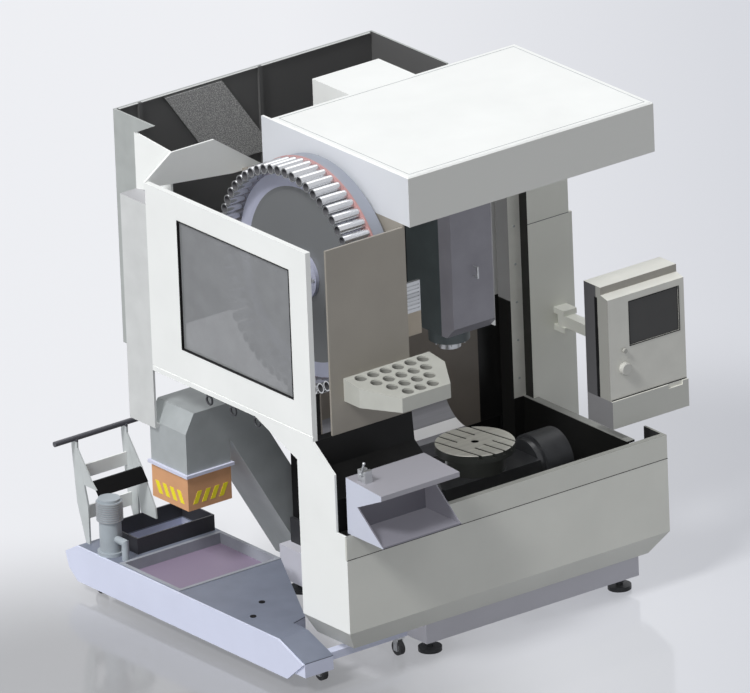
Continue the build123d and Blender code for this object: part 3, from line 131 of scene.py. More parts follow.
def ring(count: int, radius: float) -> list[Pair]:
    """Places spread evenly round a circle."""
    turns = [math.tau * index / count for index in range(count)]
    return [(radius * math.cos(turn), radius * math.sin(turn)) for turn in turns]


def middle_of(node: str) -> Vector:
    """Middle of a node's box."""
    low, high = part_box(node)
    return (low + high) / 2


class Graph:
    """Shader nodes of a material or a world."""

    def __init__(self, owner: bpy.types.Material | bpy.types.World) -> None:
        """Switch the owner's nodes on and hold them."""
        owner.use_nodes = True
        self.tree = owner.node_tree

    def add(self, kind: str, inputs: dict[str | int, Any] | None = None, **settings: Any) -> bpy.types.Node:
        """Add a node.

        Args:
            kind: Its type, without the first part that all types share.
            inputs: Constants or sockets for its inputs, by name or number.
            settings: Its own settings, such as its operation.

        Returns:
            The node.
        """
        made = self.tree.nodes.new(f"ShaderNode{kind}")
        for name, value in settings.items():
            setattr(made, name, value)
        for name, source in (inputs or {}).items():
            self.feed(made.inputs[name], source)
        return made

    def feed(self, socket: Socket, source: Any) -> None:
        """Give a socket a constant, or link it to another socket.

        Args:
            socket: The input.
            source: The constant or the other node's output.
        """
        if isinstance(source, Socket):
            self.tree.links.new(source, socket)
        else:
            socket.default_value = source

    def place(self) -> Socket:
        """Object coordinates."""
        return self.add("TexCoord").outputs["Object"]

    def math(self, operation: str, *terms: Any) -> Socket:
        """Value of an operation on constants or sockets."""
        return self.add("Math", dict(enumerate(terms)), operation=operation).outputs["Value"]

    def mix(self, blend: str, share: Any, first: Any, second: Any) -> Socket:
        """Blend of two colours."""
        inputs = {"Factor": share, "A": first, "B": second}
        return self.add("Mix", inputs, data_type="RGBA", blend_type=blend).outputs["Result"]

    def ramp(self, share: Socket, stops: list[tuple[float, tuple]], interpolation: str = "LINEAR") -> Socket:
        """Colour that runs between two stops.

        Args:
            share: The value that picks the colour.
            stops: Place and linear colour of both stops.
            interpolation: How the colour runs between them.

        Returns:
            The colour.
        """
        made = self.add("ValToRGB", {"Fac": share})
        made.color_ramp.interpolation = interpolation
        for element, (position, colour) in zip(made.color_ramp.elements, stops):
            element.position = position
            element.color = colour
        return made.outputs["Color"]

    def seen(self) -> Socket:
        """One for rays from the viewer, mirrors and glass, and nought for scattered light.

        Returns:
            The value.
        """
        rays = self.add("LightPath").outputs
        value = rays["Is Camera Ray"]
        for kind in ("Is Glossy Ray", "Is Transmission Ray"):
            value = self.math("MAXIMUM", value, rays[kind])
        return value


@dataclass(frozen=True)
class Zone:
    """A box in the model's frame where a finish takes a second colour."""

    low: Point
    high: Point
    colour: Colour

    def over(self, graph: Graph, place: Socket, shade: Socket) -> Socket:
        """Swap the colour inside the box.

        Args:
            graph: The material's nodes.
            place: The object coordinates.
            shade: The colour so far.

        Returns:
            The colour with the zone in it.
        """
        split = graph.add("SeparateXYZ", {"Vector": place}).outputs
        inside = None
        for axis, low, high in zip("XYZ", self.low, self.high):
            for operation, limit in (("GREATER_THAN", low), ("LESS_THAN", high)):
                test = graph.math(operation, split[axis], limit)
                inside = test if inside is None else graph.math("MULTIPLY", inside, test)
        return graph.mix("MIX", inside, shade, linear(self.colour))


def zone_of(node: str, colour: Colour, x: Span = ALL, y: Span = ALL, z: Span = ALL) -> Zone:
    """Zone on a part of a node.

    A span gives the zone's two ends along an axis. An end of nought or more counts from the node's
    low side, a negative one counts from its high side, and None leaves the end open.

    Args:
        node: Name of the node.
        colour: Colour of the zone.
        x: Span across.
        y: Span from front to back.
        z: Span upwards.

    Returns:
        The zone.
    """
    starts, ends = [], []
    for (start, end), low, high in zip((x, y, z), *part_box(node)):
        starts.append(low - BEYOND if start is None else (low if start >= 0 else high) + start)
        ends.append(high + BEYOND if end is None else (low if end >= 0 else high) + end)
    return Zone(tuple(starts), tuple(ends), colour)


@dataclass(frozen=True)
class Finish:
    """A procedural surface: one colour with a little variation, and zones of other colours."""

    name: str
    colour: Colour
    roughness: float = 0.45
    metallic: float = 0.0
    grain: Grain = Grain.MOTTLED
    grain_share: float = 0.04
    grain_scale: float = 9.0
    speckle_colour: Colour = (170.0, 168.0, 165.0)
    bump: float = 0.02
    cover: float = 1.0
    sheen: float = 0.5
    zones: tuple[Zone, ...] = ()

    def variant(self, name: str, *zones: Zone, **changes: Any) -> Finish:
        """This finish under another name, with zones and other changes."""
        return replace(self, name=name, zones=zones, **changes)

    def material(self) -> bpy.types.Material:
        """Make the material, or return the one already made.

        Returns:
            The material of this finish.
        """
        label = f"{self.name}_finish"
        made = bpy.data.materials.get(label)
        if made:
            return made
        made = bpy.data.materials.new(label)
        made.diffuse_color = linear(self.colour)
        graph = Graph(made)
        shader = graph.tree.nodes["Principled BSDF"].inputs
        shader["Roughness"].default_value = self.roughness
        shader["Metallic"].default_value = self.metallic
        shader["Alpha"].default_value = self.cover
        shader["Base Color"].default_value = linear(self.colour)
        shader["Specular IOR Level"].default_value = self.sheen
        if self.grain is Grain.PLAIN:
            return made
        place = graph.place()
        pattern = self._pattern(graph, place)
        shade = graph.ramp(pattern, self._stops())
        for zone in self.zones:
            shade = zone.over(graph, place, shade)
        graph.feed(shader["Base Color"], shade)
        if self.bump:
            inputs = {"Strength": self.bump, "Distance": MILLIMETRE, "Height": pattern}
            graph.feed(shader["Normal"], graph.add("Bump", inputs).outputs["Normal"])
        return made

    def _pattern(self, graph: Graph, place: Socket) -> Socket:
        """Noise on object coordinates, drawn out along X for a brushed surface.

        Args:
            graph: The material's nodes.
            place: The object coordinates.

        Returns:
            The noise value.
        """
        stretch = BRUSHED_STRETCH if self.grain is Grain.BRUSHED else EVEN_STRETCH
        mapped = graph.add("Mapping", {"Scale": stretch, "Vector": place}).outputs["Vector"]
        noise = graph.add("TexNoise", {"Scale": self.grain_scale, "Detail": NOISE_DETAIL, "Vector": mapped})
        return noise.outputs["Fac"]

    def _stops(self) -> list[tuple[float, tuple]]:
        """Two colours for the noise: a soft spread, or sharp pale specks.

        Returns:
            Place and linear colour of both stops.
        """
        if self.grain is Grain.SPECKLED:
            return list(zip(SPECK_STOPS, (linear(self.colour), linear(self.speckle_colour))))
        dark = tuple(c * (1.0 - self.grain_share) for c in self.colour)
        pale = tuple(min(255.0, c * (1.0 + self.grain_share)) for c in self.colour)
        return list(zip(MOTTLE_STOPS, (linear(dark), linear(pale))))


# Finishes shared by several sub-assemblies
WHITE = Finish("white_panel_paint", (235, 237, 235), roughness=0.42, grain_share=0.012, grain_scale=3.0)
PEARL = Finish("pearl_front_paint", (222, 223, 215), grain_share=0.015, grain_scale=3.0)
LAVENDER = Finish("lavender_paint", (211, 216, 236), grain_share=0.015, grain_scale=3.0)
DARK_SHEET = Finish("dark_sheet", (18, 18, 18), roughness=0.42, grain_share=0.08, sheen=0.15)
CAST_DARK = Finish(
    "dark_casting", (46, 47, 49), roughness=0.42, grain_share=0.08, grain_scale=22.0, bump=0.10, sheen=0.25
)
STEEL = Finish(
    "ground_steel", (190, 192, 194), roughness=0.30, metallic=0.8, grain=Grain.BRUSHED, grain_share=0.06
)
DULL_STEEL = Finish("zinc_sheet", (166, 171, 172), metallic=0.2, grain_share=0.03)
PALE_SHEET = Finish("pale_cover_sheet", (202, 204, 203), grain_share=0.02, grain_scale=4.0)
BOLT = Finish("bolt_steel", (70, 71, 74), roughness=0.35, metallic=0.7, grain=Grain.PLAIN)
BLACK_TRIM = Finish("black_trim", (20, 20, 21), roughness=0.4, grain=Grain.PLAIN, sheen=0.15)
HUB_PAINT = Finish("hub_paint", (150, 152, 156), roughness=0.4, grain_share=0.03)


class Shape:
    """A mesh under construction, in the model's frame."""

    def __init__(self) -> None:
        """Start with an empty mesh."""
        self.mesh = bmesh.new()

    def block(self, low: Point, high: Point, bevel: float = 0.0) -> Shape:
        """Add a rectangular block.

        Args:
            low: Its lowest corner.
            high: Its highest corner.
            bevel: Width of its rounded edges, or zero.

        Returns:
            This shape.
        """
        low, high = Vector(low), Vector(high)
        place = Matrix.Translation((low + high) / 2) @ Matrix.Diagonal((*(high - low), 1.0))
        made = bmesh.ops.create_cube(self.mesh, size=1.0, matrix=place)
        if bevel:
            edges = list({edge for vertex in made["verts"] for edge in vertex.link_edges})
            bmesh.ops.bevel(
                self.mesh, geom=edges, offset=bevel, offset_type="OFFSET", affect="EDGES",
                segments=2, profile=0.5, material=-1,
            )
        return self

    def border(self, low: Point, high: Point, width: float, depth: Axis) -> Shape:
        """Add four bars round the edge of a flat box.

        Args:
            low: The box's lowest corner.
            high: Its highest corner.
            width: Width of the bars.
            depth: Direction of the box's thickness.

        Returns:
            This shape.
        """
        first, second = (axis.value for axis in Axis if axis is not depth)
        for across, along, trim in ((first, second, 0.0), (second, first, width)):
            for at in (low[across], high[across] - width):
                start, end = list(low), list(high)
                start[across], end[across] = at, at + width
                start[along], end[along] = low[along] + trim, high[along] - trim
                self.block(start, end)
        return self

    def rod(
        self, start: Point, end: Point, radius: float, sides: int = 24, tip: float | None = None
    ) -> Shape:
        """Add a round rod, or a cone where the far radius differs.

        Args:
            start: Middle of its first end.
            end: Middle of its far end.
            radius: Radius at the first end.
            sides: Number of flats round it.
            tip: Radius at the far end, when it isn't the same.

        Returns:
            This shape.
        """
        start, end = Vector(start), Vector(end)
        along = end - start
        turn = WORLD_UP.rotation_difference(along.normalized()).to_matrix().to_4x4()
        bmesh.ops.create_cone(
            self.mesh, cap_ends=True, segments=sides, radius1=radius, radius2=radius if tip is None else tip,
            depth=along.length, matrix=Matrix.Translation((start + end) / 2) @ turn,
        )
        return self

    def cup(self, mouth: Vector, foot: Vector, radius: float, wall: float, depth: float, sides: int) -> Shape:
        """Add a round tube with a blind bore, whose bore takes the second finish.

        Args:
            mouth: Middle of its open end.
            foot: Middle of its closed end.
            radius: Outer radius.
            wall: Thickness of the wall.
            depth: Depth of the bore.
            sides: Number of flats round it.

        Returns:
            This shape.
        """
        known = set(self.mesh.faces)
        self.rod(foot, mouth, radius, sides)
        made = [face for face in self.mesh.faces if face not in known]
        cap = min(made, key=lambda face: (face.calc_center_median() - mouth).length)
        bmesh.ops.inset_region(self.mesh, faces=[cap], thickness=wall, use_even_offset=True)
        known = set(self.mesh.faces)
        self._extrude(cap, (foot - mouth).normalized() * depth)
        if cap.is_valid:
            self.mesh.faces.remove(cap)
        for face in self.mesh.faces:
            if face not in known:
                face.material_index = 1
        return self

    def ball(self, middle: Vector, radius: float) -> Shape:
        """Add a ball.

        Args:
            middle: Its middle.
            radius: Its radius.

        Returns:
            This shape.
        """
        bmesh.ops.create_uvsphere(
            self.mesh, u_segments=BALL_SEGMENTS, v_segments=BALL_RINGS, radius=radius,
            matrix=Matrix.Translation(middle),
        )
        return self

    def hoop(self, middle: Point, axis: Vector, radius: float, wire: float) -> Shape:
        """Add a round wire bent into a ring.

        Args:
            middle: Middle of the ring.
            axis: Normal of the ring's plane.
            radius: Radius of the ring's middle line.
            wire: Radius of the wire.

        Returns:
            This shape.
        """
        side = axis.orthogonal().normalized()
        turn = WORLD_UP.rotation_difference(axis.cross(side)).to_matrix().to_4x4()
        made = bmesh.ops.create_circle(
            self.mesh, cap_ends=False, segments=WIRE_SIDES, radius=wire,
            matrix=Matrix.Translation(Vector(middle) + side * radius) @ turn,
        )
        edges = list({edge for vertex in made["verts"] for edge in vertex.link_edges})
        bmesh.ops.spin(
            self.mesh, geom=made["verts"] + edges, cent=middle, axis=axis, angle=math.tau,
            steps=HOOP_STEPS, use_merge=True, use_duplicate=False,
        )
        return self

    def plate(self, corners: list[Vector], depth: Vector) -> Shape:
        """Add a flat plate from its outline.

        Args:
            corners: Corners of one face, in order.
            depth: Offset from that face to the other.

        Returns:
            This shape.
        """
        face = self.mesh.faces.new([self.mesh.verts.new(corner) for corner in corners])
        self._extrude(face, depth)
        return self

    def _extrude(self, face: bmesh.types.BMFace, offset: Vector) -> None:
        """Draw a face out.

        Args:
            face: The face.
            offset: Way that it moves.
        """
        made = bmesh.ops.extrude_face_region(self.mesh, geom=[face])["geom"]
        moved = [item for item in made if isinstance(item, bmesh.types.BMVert)]
        bmesh.ops.translate(self.mesh, verts=moved, vec=offset)

    def piece(
        self, name: str, finish: Finish, body: str = "machine", smooth: bool = False,
        second: Finish | None = None,
    ) -> bpy.types.Object:
        """Turn the mesh into a piece that rides on a body.

        Args:
            name: Name of the piece.
            finish: Its finish.
            body: The body that carries it.
            smooth: Whether its round faces are shaded smooth.
            second: Finish of its bores, when it has them.

        Returns:
            The new object.
        """
        bmesh.ops.remove_doubles(self.mesh, verts=self.mesh.verts, dist=MERGE_DISTANCE)
        bmesh.ops.recalc_face_normals(self.mesh, faces=self.mesh.faces)
        data = bpy.data.meshes.new(name)
        self.mesh.to_mesh(data)
        self.mesh.free()
        data.materials.append(finish.material())
        if second:
            data.materials.append(second.material())
        made = bpy.data.objects.new(name, data)
        bpy.context.scene.collection.objects.link(made)
        if smooth:
            data.shade_smooth()
            data.set_sharp_from_angle(angle=SHARP_ANGLE)
        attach(made, body)
        LOG.info("piece %s rides on %s", name, body)
        return made


def dress_all(finishes: dict[str, Finish]) -> None:
    """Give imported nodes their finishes.

    Args:
        finishes: The finish for each node, by the node's name.
    """
    for node, finish in finishes.items():
        mesh = FRAME["nodes"][node].data
        mesh.materials.clear()
        mesh.materials.append(finish.material())
        LOG.info("node %s is %s", node, finish.name)


@dataclass
class Enclosure:
    """Skirt, apron, covers, canopy, cabinet and magazine walls."""

    seam: float = 0.003
    gasket: float = 0.005
    apron_sheet: float = 0.0125
    cabinet_sheet: float = 0.0115
    # Span upwards of the painted highlight on the chip chute
    ramp_highlight_band: Span = (0.082, -0.163)
    wing_step: float = 1.350
    wing_width: float = 0.138
    wing_foot: float = 0.060
    foot_cover: float = 0.190
    rim_width: float = 0.024
    trim_inset: float = 0.030
    canopy_tail: float = 0.075
    door_line: float = 0.005
    door_margin: float = 0.050
    slat_count: int = 9
    slat_pitch: float = 0.026
    slat_height: float = 0.012
    slat_drop: float = 0.120
    slat_round: float = 0.002
    latch_offset: float = 0.040
    latch_half: Pair = (0.012, 0.055)
    latch_proud: float = 0.014
    latch_round: float = 0.004
    eye_count: int = 3
    eye_start: float = 0.36
    eye_pitch: float = 0.15
    eye_radius: float = 0.022
    eye_wire: float = 0.006
    lug_inset: float = 0.015
    lug_half: Pair = (0.007, 0.016)
    lug_drop: float = 0.012
    screw_count: int = 7
    screw_radius: float = 0.006
    screw_height: float = 0.003

    def build(self) -> None:
        """Dress the sheet metal and add its gasket, covers, seams, doors, eyes and screws."""
        sheet = self.cabinet_sheet
        dress_all({
            "front_skirt": PEARL.variant(
                "skirt_paint", zone_of("front_skirt", WHITE.colour, x=LOW_FACE), colour=(214, 215, 208)
            ),
            "front_apron": PEARL.variant(
                "apron_paint",
                zone_of("front_apron", (40, 40, 40), y=(self.apron_sheet, None), z=(None, -SKIN)),
                zone_of("front_apron", (142, 143, 138), z=HIGH_FACE),
                colour=(203, 204, 197),
            ),
            "left_side_panel": WHITE,
            "sloped_front_cover": DARK_SHEET,
            "magazine_front_wall": Finish(
                "tan_wall_paint", (152, 147, 138), roughness=0.5, grain_share=0.02, grain_scale=4.0
            ),
            "magazine_side_frame": WHITE,
            "bridge_plate": WHITE,
            # Painted reflection and shade on the canopy: a blue tint on the left face for the wheel's
            # reflection, and a darker front face
            "canopy": WHITE.variant(
                "canopy_paint",
                zone_of("canopy", (212, 215, 220), x=LOW_FACE),
                zone_of("canopy", (208, 209, 205), y=LOW_FACE),
            ),
            "drive_box": WHITE,
            "upper_left_wall": WHITE,
            "lower_left_cover": PALE_SHEET.variant(
                "ledge_sheet", zone_of("lower_left_cover", (172, 172, 175), z=HIGH_FACE), grain_scale=9.0
            ),
            "pillar_lower_cover": self._pillar_finish("pillar_lower_cover"),
            "pillar_upper_cover": self._pillar_finish("pillar_upper_cover"),
            "right_inner_wall": DARK_SHEET.variant(
                "inner_wall_sheet", zone_of("right_inner_wall", (128, 129, 126), z=(-self.seam, None)),
                colour=(20, 20, 19), roughness=0.45,
            ),
            "rear_splash_wall": self._splash_finish(),
            # The chute's near-white band is a painted highlight, where the curved sheet catches the light
            "chip_ramp": Finish(
                "chute_sheet", (142, 142, 147), roughness=0.25, metallic=0.1, grain=Grain.BRUSHED,
                zones=(zone_of("chip_ramp", (253, 253, 254), z=self.ramp_highlight_band),),
            ),
            "guide_column": self._guide_finish(),
            "magazine_window": Finish(
                "smoked_window", (134, 136, 138), roughness=0.12, cover=0.72, grain_share=0.03, bump=0.0
            ),
            "rear_cabinet": Finish(
                "cabinet_sheet", (165, 169, 167), roughness=0.5, grain_share=0.03,
                zones=(zone_of("rear_cabinet", (88, 88, 88), x=(sheet, -sheet), y=(None, -sheet)),),
            ),
        })
        self._window_gasket()
        self._foot_covers()
        self._seams()
        self._canopy_trim()
        self._cabinet_back()
        self._eyes()
        self._column_screws()

    @staticmethod
    def _pillar_finish(node: str) -> Finish:
        """Pearl cover with painted shade in black on its left face, in the narrow recess beside the guide
        column.
        """
        # Painted shade: black on the left face, in the recess beside the guide column
        return PEARL.variant(f"{node}_paint", zone_of(node, (26, 26, 24), x=LOW_FACE))

    def _guide_finish(self) -> Finish:
        """Pale front and upper left face, black below the head and below the apron's top.

        Returns:
            The guide column's finish.
        """
        black = (22, 22, 21)
        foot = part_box("guide_column")[0].z
        step = self.wing_step - foot
        apron_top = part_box("front_apron")[1].z - foot
        return Finish("guide_sheet", (214, 214, 207), grain_share=0.03, zones=(
            zone_of("guide_column", black, x=LOW_FACE, z=(None, step)),
            zone_of("guide_column", (146, 146, 146), x=LOW_FACE, z=(step, None)),
            zone_of("guide_column", black, z=(None, apron_top)),
        ))

    def _splash_finish(self) -> Finish:
        """Brownish grey sheet behind the table; beside the guide column black below and pale above.

        Returns:
            The rear splash wall's finish.
        """
        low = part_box("rear_splash_wall")[0]
        wing = (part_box("portal_column")[1].x - self.wing_width - low.x, None)
        step = self.wing_step - low.z
        zones = (
            zone_of("rear_splash_wall", (16, 16, 16), x=wing, z=(None, step)),
            zone_of("rear_splash_wall", (204, 204, 204), x=wing, z=(step, None)),
        )
        return Finish(
            "splash_sheet", (124, 117, 109), roughness=0.4, grain_share=0.05, grain_scale=3.0, zones=zones
        )

    def _window_gasket(self) -> None:
        """Dark rubber bead round the magazine's window, on the frame's outer face."""
        low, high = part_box("magazine_window")
        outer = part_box("magazine_side_frame")[0].x - self.seam
        Shape().border(
            (outer, low.y, low.z), (low.x, high.y, high.z), self.gasket, Axis.X
        ).piece("window_gasket", BLACK_TRIM)

    def _foot_covers(self) -> None:
        """Cover under the pillar, and a black sheet under the splash wall's right wing."""
        low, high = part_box("pillar_lower_cover")
        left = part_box("right_inner_wall")[1].x + SKIN
        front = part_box("pillar_upper_cover")[0].y
        Shape().block(
            (left, front, low.z - self.foot_cover), (high.x, front + self.foot_cover, low.z)
        ).piece("pillar_foot_cover", PEARL)
        low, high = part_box("rear_splash_wall")
        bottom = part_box("portal_column")[0].z
        Shape().block(
            (high.x - self.wing_foot, low.y, bottom), (high.x, high.y, low.z)
        ).piece("wing_foot_sheet", BLACK_TRIM)

    def _seams(self) -> None:
        """Dark joints between skirt and apron and on the pillar's step, with the cabinet's pale rim."""
        line, half, proud = self.seam, self.seam / 2, self.seam / 4
        low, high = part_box("front_apron")
        Shape().block(
            (low.x - proud, low.y - proud, low.z - half), (high.x + proud, low.y + line, low.z + half)
        ).piece("skirt_seam", BLACK_TRIM)
        low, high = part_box("pillar_upper_cover")
        Shape().block(
            (low.x, low.y - proud, low.z - half), (high.x, low.y + line, low.z + half)
        ).piece("pillar_seam", BOLT)
        low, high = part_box("rear_cabinet")
        rim = self.rim_width
        Shape().block(
            (low.x + rim, high.y - rim, high.z - line), (high.x - rim, high.y - line, high.z - SKIN)
        ).piece("cabinet_rim", PALE_SHEET)

    def _canopy_trim(self) -> None:
        """Thin raised frame on the canopy's roof."""
        low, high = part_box("canopy")
        inset, line = self.trim_inset, self.seam
        Shape().border(
            (low.x + inset, low.y + inset, high.z - line),
            (high.x - inset, high.y - self.canopy_tail - inset, high.z + line / 3), line, Axis.Z,
        ).piece("canopy_roof_trim", DULL_STEEL)

    def _cabinet_back(self) -> None:
        """Two service doors on the cabinet's back, each with its joint, louvres and latch."""
        low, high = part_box("rear_cabinet")
        line, face, margin = self.door_line, high.y, self.door_margin
        middle = (low.x + high.x) / 2
        foot, head = low.z + margin, high.z - margin
        wide, tall = self.latch_half
        z = (foot + head) / 2
        joints, fittings = Shape(), Shape()
        for left, right, latch in (
            (low.x + margin, middle - line, middle - self.latch_offset),
            (middle + line, high.x - margin, middle + self.latch_offset),
        ):
            joints.border((left, face - line, foot), (right, face + self.seam / 3, head), line, Axis.Y)
            centre, half = (left + right) / 2, (right - left) / 4
            for index in range(self.slat_count):
                slat = head - self.slat_drop - index * self.slat_pitch
                fittings.block(
                    (centre - half, face - line, slat), (centre + half, face + line, slat + self.slat_height),
                    self.slat_round,
                )
            fittings.block(
                (latch - wide, face - line, z - tall), (latch + wide, face + self.latch_proud, z + tall),
                self.latch_round,
            )
        joints.piece("service_door_joints", BLACK_TRIM)
        fittings.piece("service_door_louvres", DULL_STEEL)

    def _eyes(self) -> None:
        """Small lifting eyes under the magazine's side frame."""
        low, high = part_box("magazine_side_frame")
        x, z = low.x + self.lug_inset, low.z - self.lug_drop
        thick, wide = self.lug_half
        shape = Shape()
        for index in range(self.eye_count):
            y = low.y + (high.y - low.y) * (self.eye_start + index * self.eye_pitch)
            shape.block((x - thick, y - wide, z), (x + thick, y + wide, low.z + MILLIMETRE))
            shape.hoop((x, y, z - self.eye_radius), TO_RIGHT, self.eye_radius, self.eye_wire)
        shape.piece("side_frame_eyes", BOLT, smooth=True)

    def _column_screws(self) -> None:
        """Row of socket screws down the light guide column's front."""
        front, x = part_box("guide_column")[0].y, middle_of("guide_column").x
        bottom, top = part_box("front_apron")[1].z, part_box("canopy")[0].z
        height = self.screw_height
        shape = Shape()
        for index in range(self.screw_count):
            z = bottom + (top - bottom) * (index + 0.5) / self.screw_count
            shape.rod((x, front + height, z), (x, front - height, z), self.screw_radius, SCREW_SIDES)
        shape.piece("guide_column_screws", DULL_STEEL)


@dataclass
class PaintedLightPatch:
    """Painted patch of light, speckled and leaning, on the inside of the cabinet."""

    left: float = 0.297
    width: float = 0.360
    lean: float = 0.300
    drop: float = 0.012
    height: float = 0.440
    panel_back: float = 0.012
    panel_depth: float = 0.014
    patch_depth: float = 0.004
    patch_margin: float = 0.003

    def build(self) -> None:
        """Lay the painted patch of light over the cabinet's leaning panel."""
        low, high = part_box("rear_cabinet")
        face = high.y - self.panel_back - self.panel_depth
        left = low.x + self.left + self.patch_margin
        right = low.x + self.left + self.width - self.patch_margin
        top = high.z - self.drop - self.patch_margin
        bottom = high.z - self.drop - self.height + self.patch_margin
        outline = ((left, top), (right, top), (right + self.lean, bottom), (left + self.lean, bottom))
        # Painted light: speckled pale paint that stands in for light falling across the cabinet's dark back
        # wall
        mesh = Finish(
            "light_patch_paint", (140, 140, 140), roughness=0.8, grain=Grain.SPECKLED, grain_scale=190.0,
            speckle_colour=(194, 194, 192), bump=0.6,
        )
        Shape().plate(
            [Vector((x, face, z)) for x, z in outline], Vector((0.0, -self.patch_depth, 0.0))
        ).piece("painted_light_patch", mesh)


@dataclass
class Drive:
    """Base, column, rails, saddle, ram, head and spindle."""

    strip_width: float = 0.032
    strip_set_back: float = 0.024
    strip_end: float = 0.005
    strip_sunk: float = 0.004
    strip_proud: float = 0.003
    strip_round: float = 0.002
    handle_wire: float = 0.006
    handle_reach: float = 0.030
    handle_height: float = 0.050
    handle_level: float = 0.46
    handle_sunk: float = 0.004
    nozzle_count: int = 6
    nozzle_radius: float = 0.007
    nozzle_ring: float = 0.082
    nozzle_drop: float = 0.018
    nozzle_sunk: float = 0.004
    foot_radius: float = 0.060
    nut_radius: float = 0.034
    nut_span: Pair = (0.044, 0.066)

    def build(self) -> None:
        """Dress the castings and add the head's strip, handle and nozzles and the feet's nuts."""
        dress_all({
            "base_frame": LAVENDER.variant("base_paint", colour=(194, 194, 202)),
            "levelling_feet": CAST_DARK,
            "machine_bed": CAST_DARK,
            "portal_column": Finish(
                "work_space_black", (20, 20, 20), roughness=0.5, grain_share=0.10, sheen=0.15
            ),
            "x_rails": STEEL,
            "x_saddle": CAST_DARK,
            "y_ram": CAST_DARK,
            "spindle_head": Finish("head_casting", (76, 84, 86), roughness=0.42, grain_share=0.05),
            "head_cover": Finish("head_cover_paint", (142, 141, 149), roughness=0.38, grain_share=0.03),
            "spindle": STEEL,
        })
        self._edge_strip()
        self._handle()
        self._nozzles()
        self._foot_nuts()

    def _edge_strip(self) -> None:
        """Pale strip down the head cover's right edge."""
        low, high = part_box("head_cover")
        front, end = low.y + self.strip_set_back, self.strip_end
        Shape().block(
            (high.x - self.strip_sunk, front, low.z + end),
            (high.x + self.strip_proud, front + self.strip_width, high.z - end), self.strip_round,
        ).piece("head_edge_strip", WHITE, "head")

    def _handle(self) -> None:
        """Bent wire handle on the head cover's front."""
        low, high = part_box("head_cover")
        x = (low.x + high.x) / 2
        z = low.z + (high.z - low.z) * self.handle_level
        out, wire, half = low.y - self.handle_reach, self.handle_wire, self.handle_height / 2
        shape = Shape()
        for level in (z - half, z + half):
            shape.rod((x, low.y + self.handle_sunk, level), (x, out, level), wire, SCREW_SIDES)
        shape.rod((x, out, z - half - wire), (x, out, z + half + wire), wire, SCREW_SIDES)
        shape.piece("head_cover_handle", STEEL, "head", smooth=True)

    def _nozzles(self) -> None:
        """Coolant nozzles round the spindle housing's lower face."""
        middle = middle_of("spindle")
        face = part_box("spindle_head")[0].z
        shape = Shape()
        for across, back in ring(self.nozzle_count, self.nozzle_ring):
            x, y = middle.x + across, middle.y + back
            shape.rod(
                (x, y, face + self.nozzle_sunk), (x, y, face - self.nozzle_drop), self.nozzle_radius,
                SCREW_SIDES, self.nozzle_radius / 2,
            )
        shape.piece("coolant_nozzles", STEEL, "head", smooth=True)

    def _foot_nuts(self) -> None:
        """Hexagon nut on each levelling foot's stem."""
        low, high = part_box("levelling_feet")
        inset = self.foot_radius
        bottom, top = self.nut_span
        shape = Shape()
        for x in (low.x + inset, high.x - inset):
            for y in (low.y + inset, high.y - inset):
                shape.rod((x, y, bottom), (x, y, top), self.nut_radius, HEXAGON)
        shape.piece("levelling_nuts", BOLT)


@dataclass
class WorkTable:
    """Trunnion housings, cradle and slotted table."""

    face_depth: float = 0.0035
    slot_depth: float = 0.026
    slot_inset: float = 0.062
    screw_count: int = 8
    screw_ring: float = 0.105
    screw_radius: float = 0.011
    screw_proud: float = 0.008
    screw_sunk: float = 0.004

    def build(self) -> None:
        """Dress the tilting table, with a ground face, painted shade in its slots and a dark body."""
        flat = (self.slot_inset, -self.slot_inset)
        body = zone_of("rotary_table", (62, 64, 61), z=(None, -self.face_depth))
        # Painted shade: near-black paint inside the T-slots
        slots = zone_of(
            "rotary_table", (10, 10, 10), x=flat, y=flat, z=(-self.slot_depth, -self.face_depth)
        )
        dress_all({
            "left_trunnion_housing": CAST_DARK,
            "right_trunnion_housing": CAST_DARK,
            "cradle": Finish(
                "cradle_casting", (44, 45, 47), roughness=0.28, grain_share=0.08, grain_scale=20.0
            ),
            "rotary_table": Finish(
                "table_steel", (202, 201, 192), roughness=0.34, metallic=0.25, grain=Grain.BRUSHED,
                grain_share=0.05, zones=(body, slots),
            ),
        })
        for side, way in (("left", -1.0), ("right", 1.0)):
            self._housing_screws(side, way)

    def _housing_screws(self, side: str, way: float) -> None:
        """Ring of cap screws on the outside of a trunnion housing.

        Args:
            side: Name of the housing's side.
            way: Minus one where its outside looks left, one where it looks right.
        """
        low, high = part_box(f"{side}_trunnion_housing")
        x = low.x if way < 0 else high.x
        y = (low.y + high.y) / 2
        z = high.z - (high.y - low.y) / 2
        shape = Shape()
        for back, up in ring(self.screw_count, self.screw_ring):
            spot = Vector((x, y + back, z + up))
            shape.rod(
                spot - TO_RIGHT * self.screw_sunk * way, spot + TO_RIGHT * self.screw_proud * way,
                self.screw_radius, SCREW_SIDES,
            )
        shape.piece(f"{side}_trunnion_screws", BOLT)


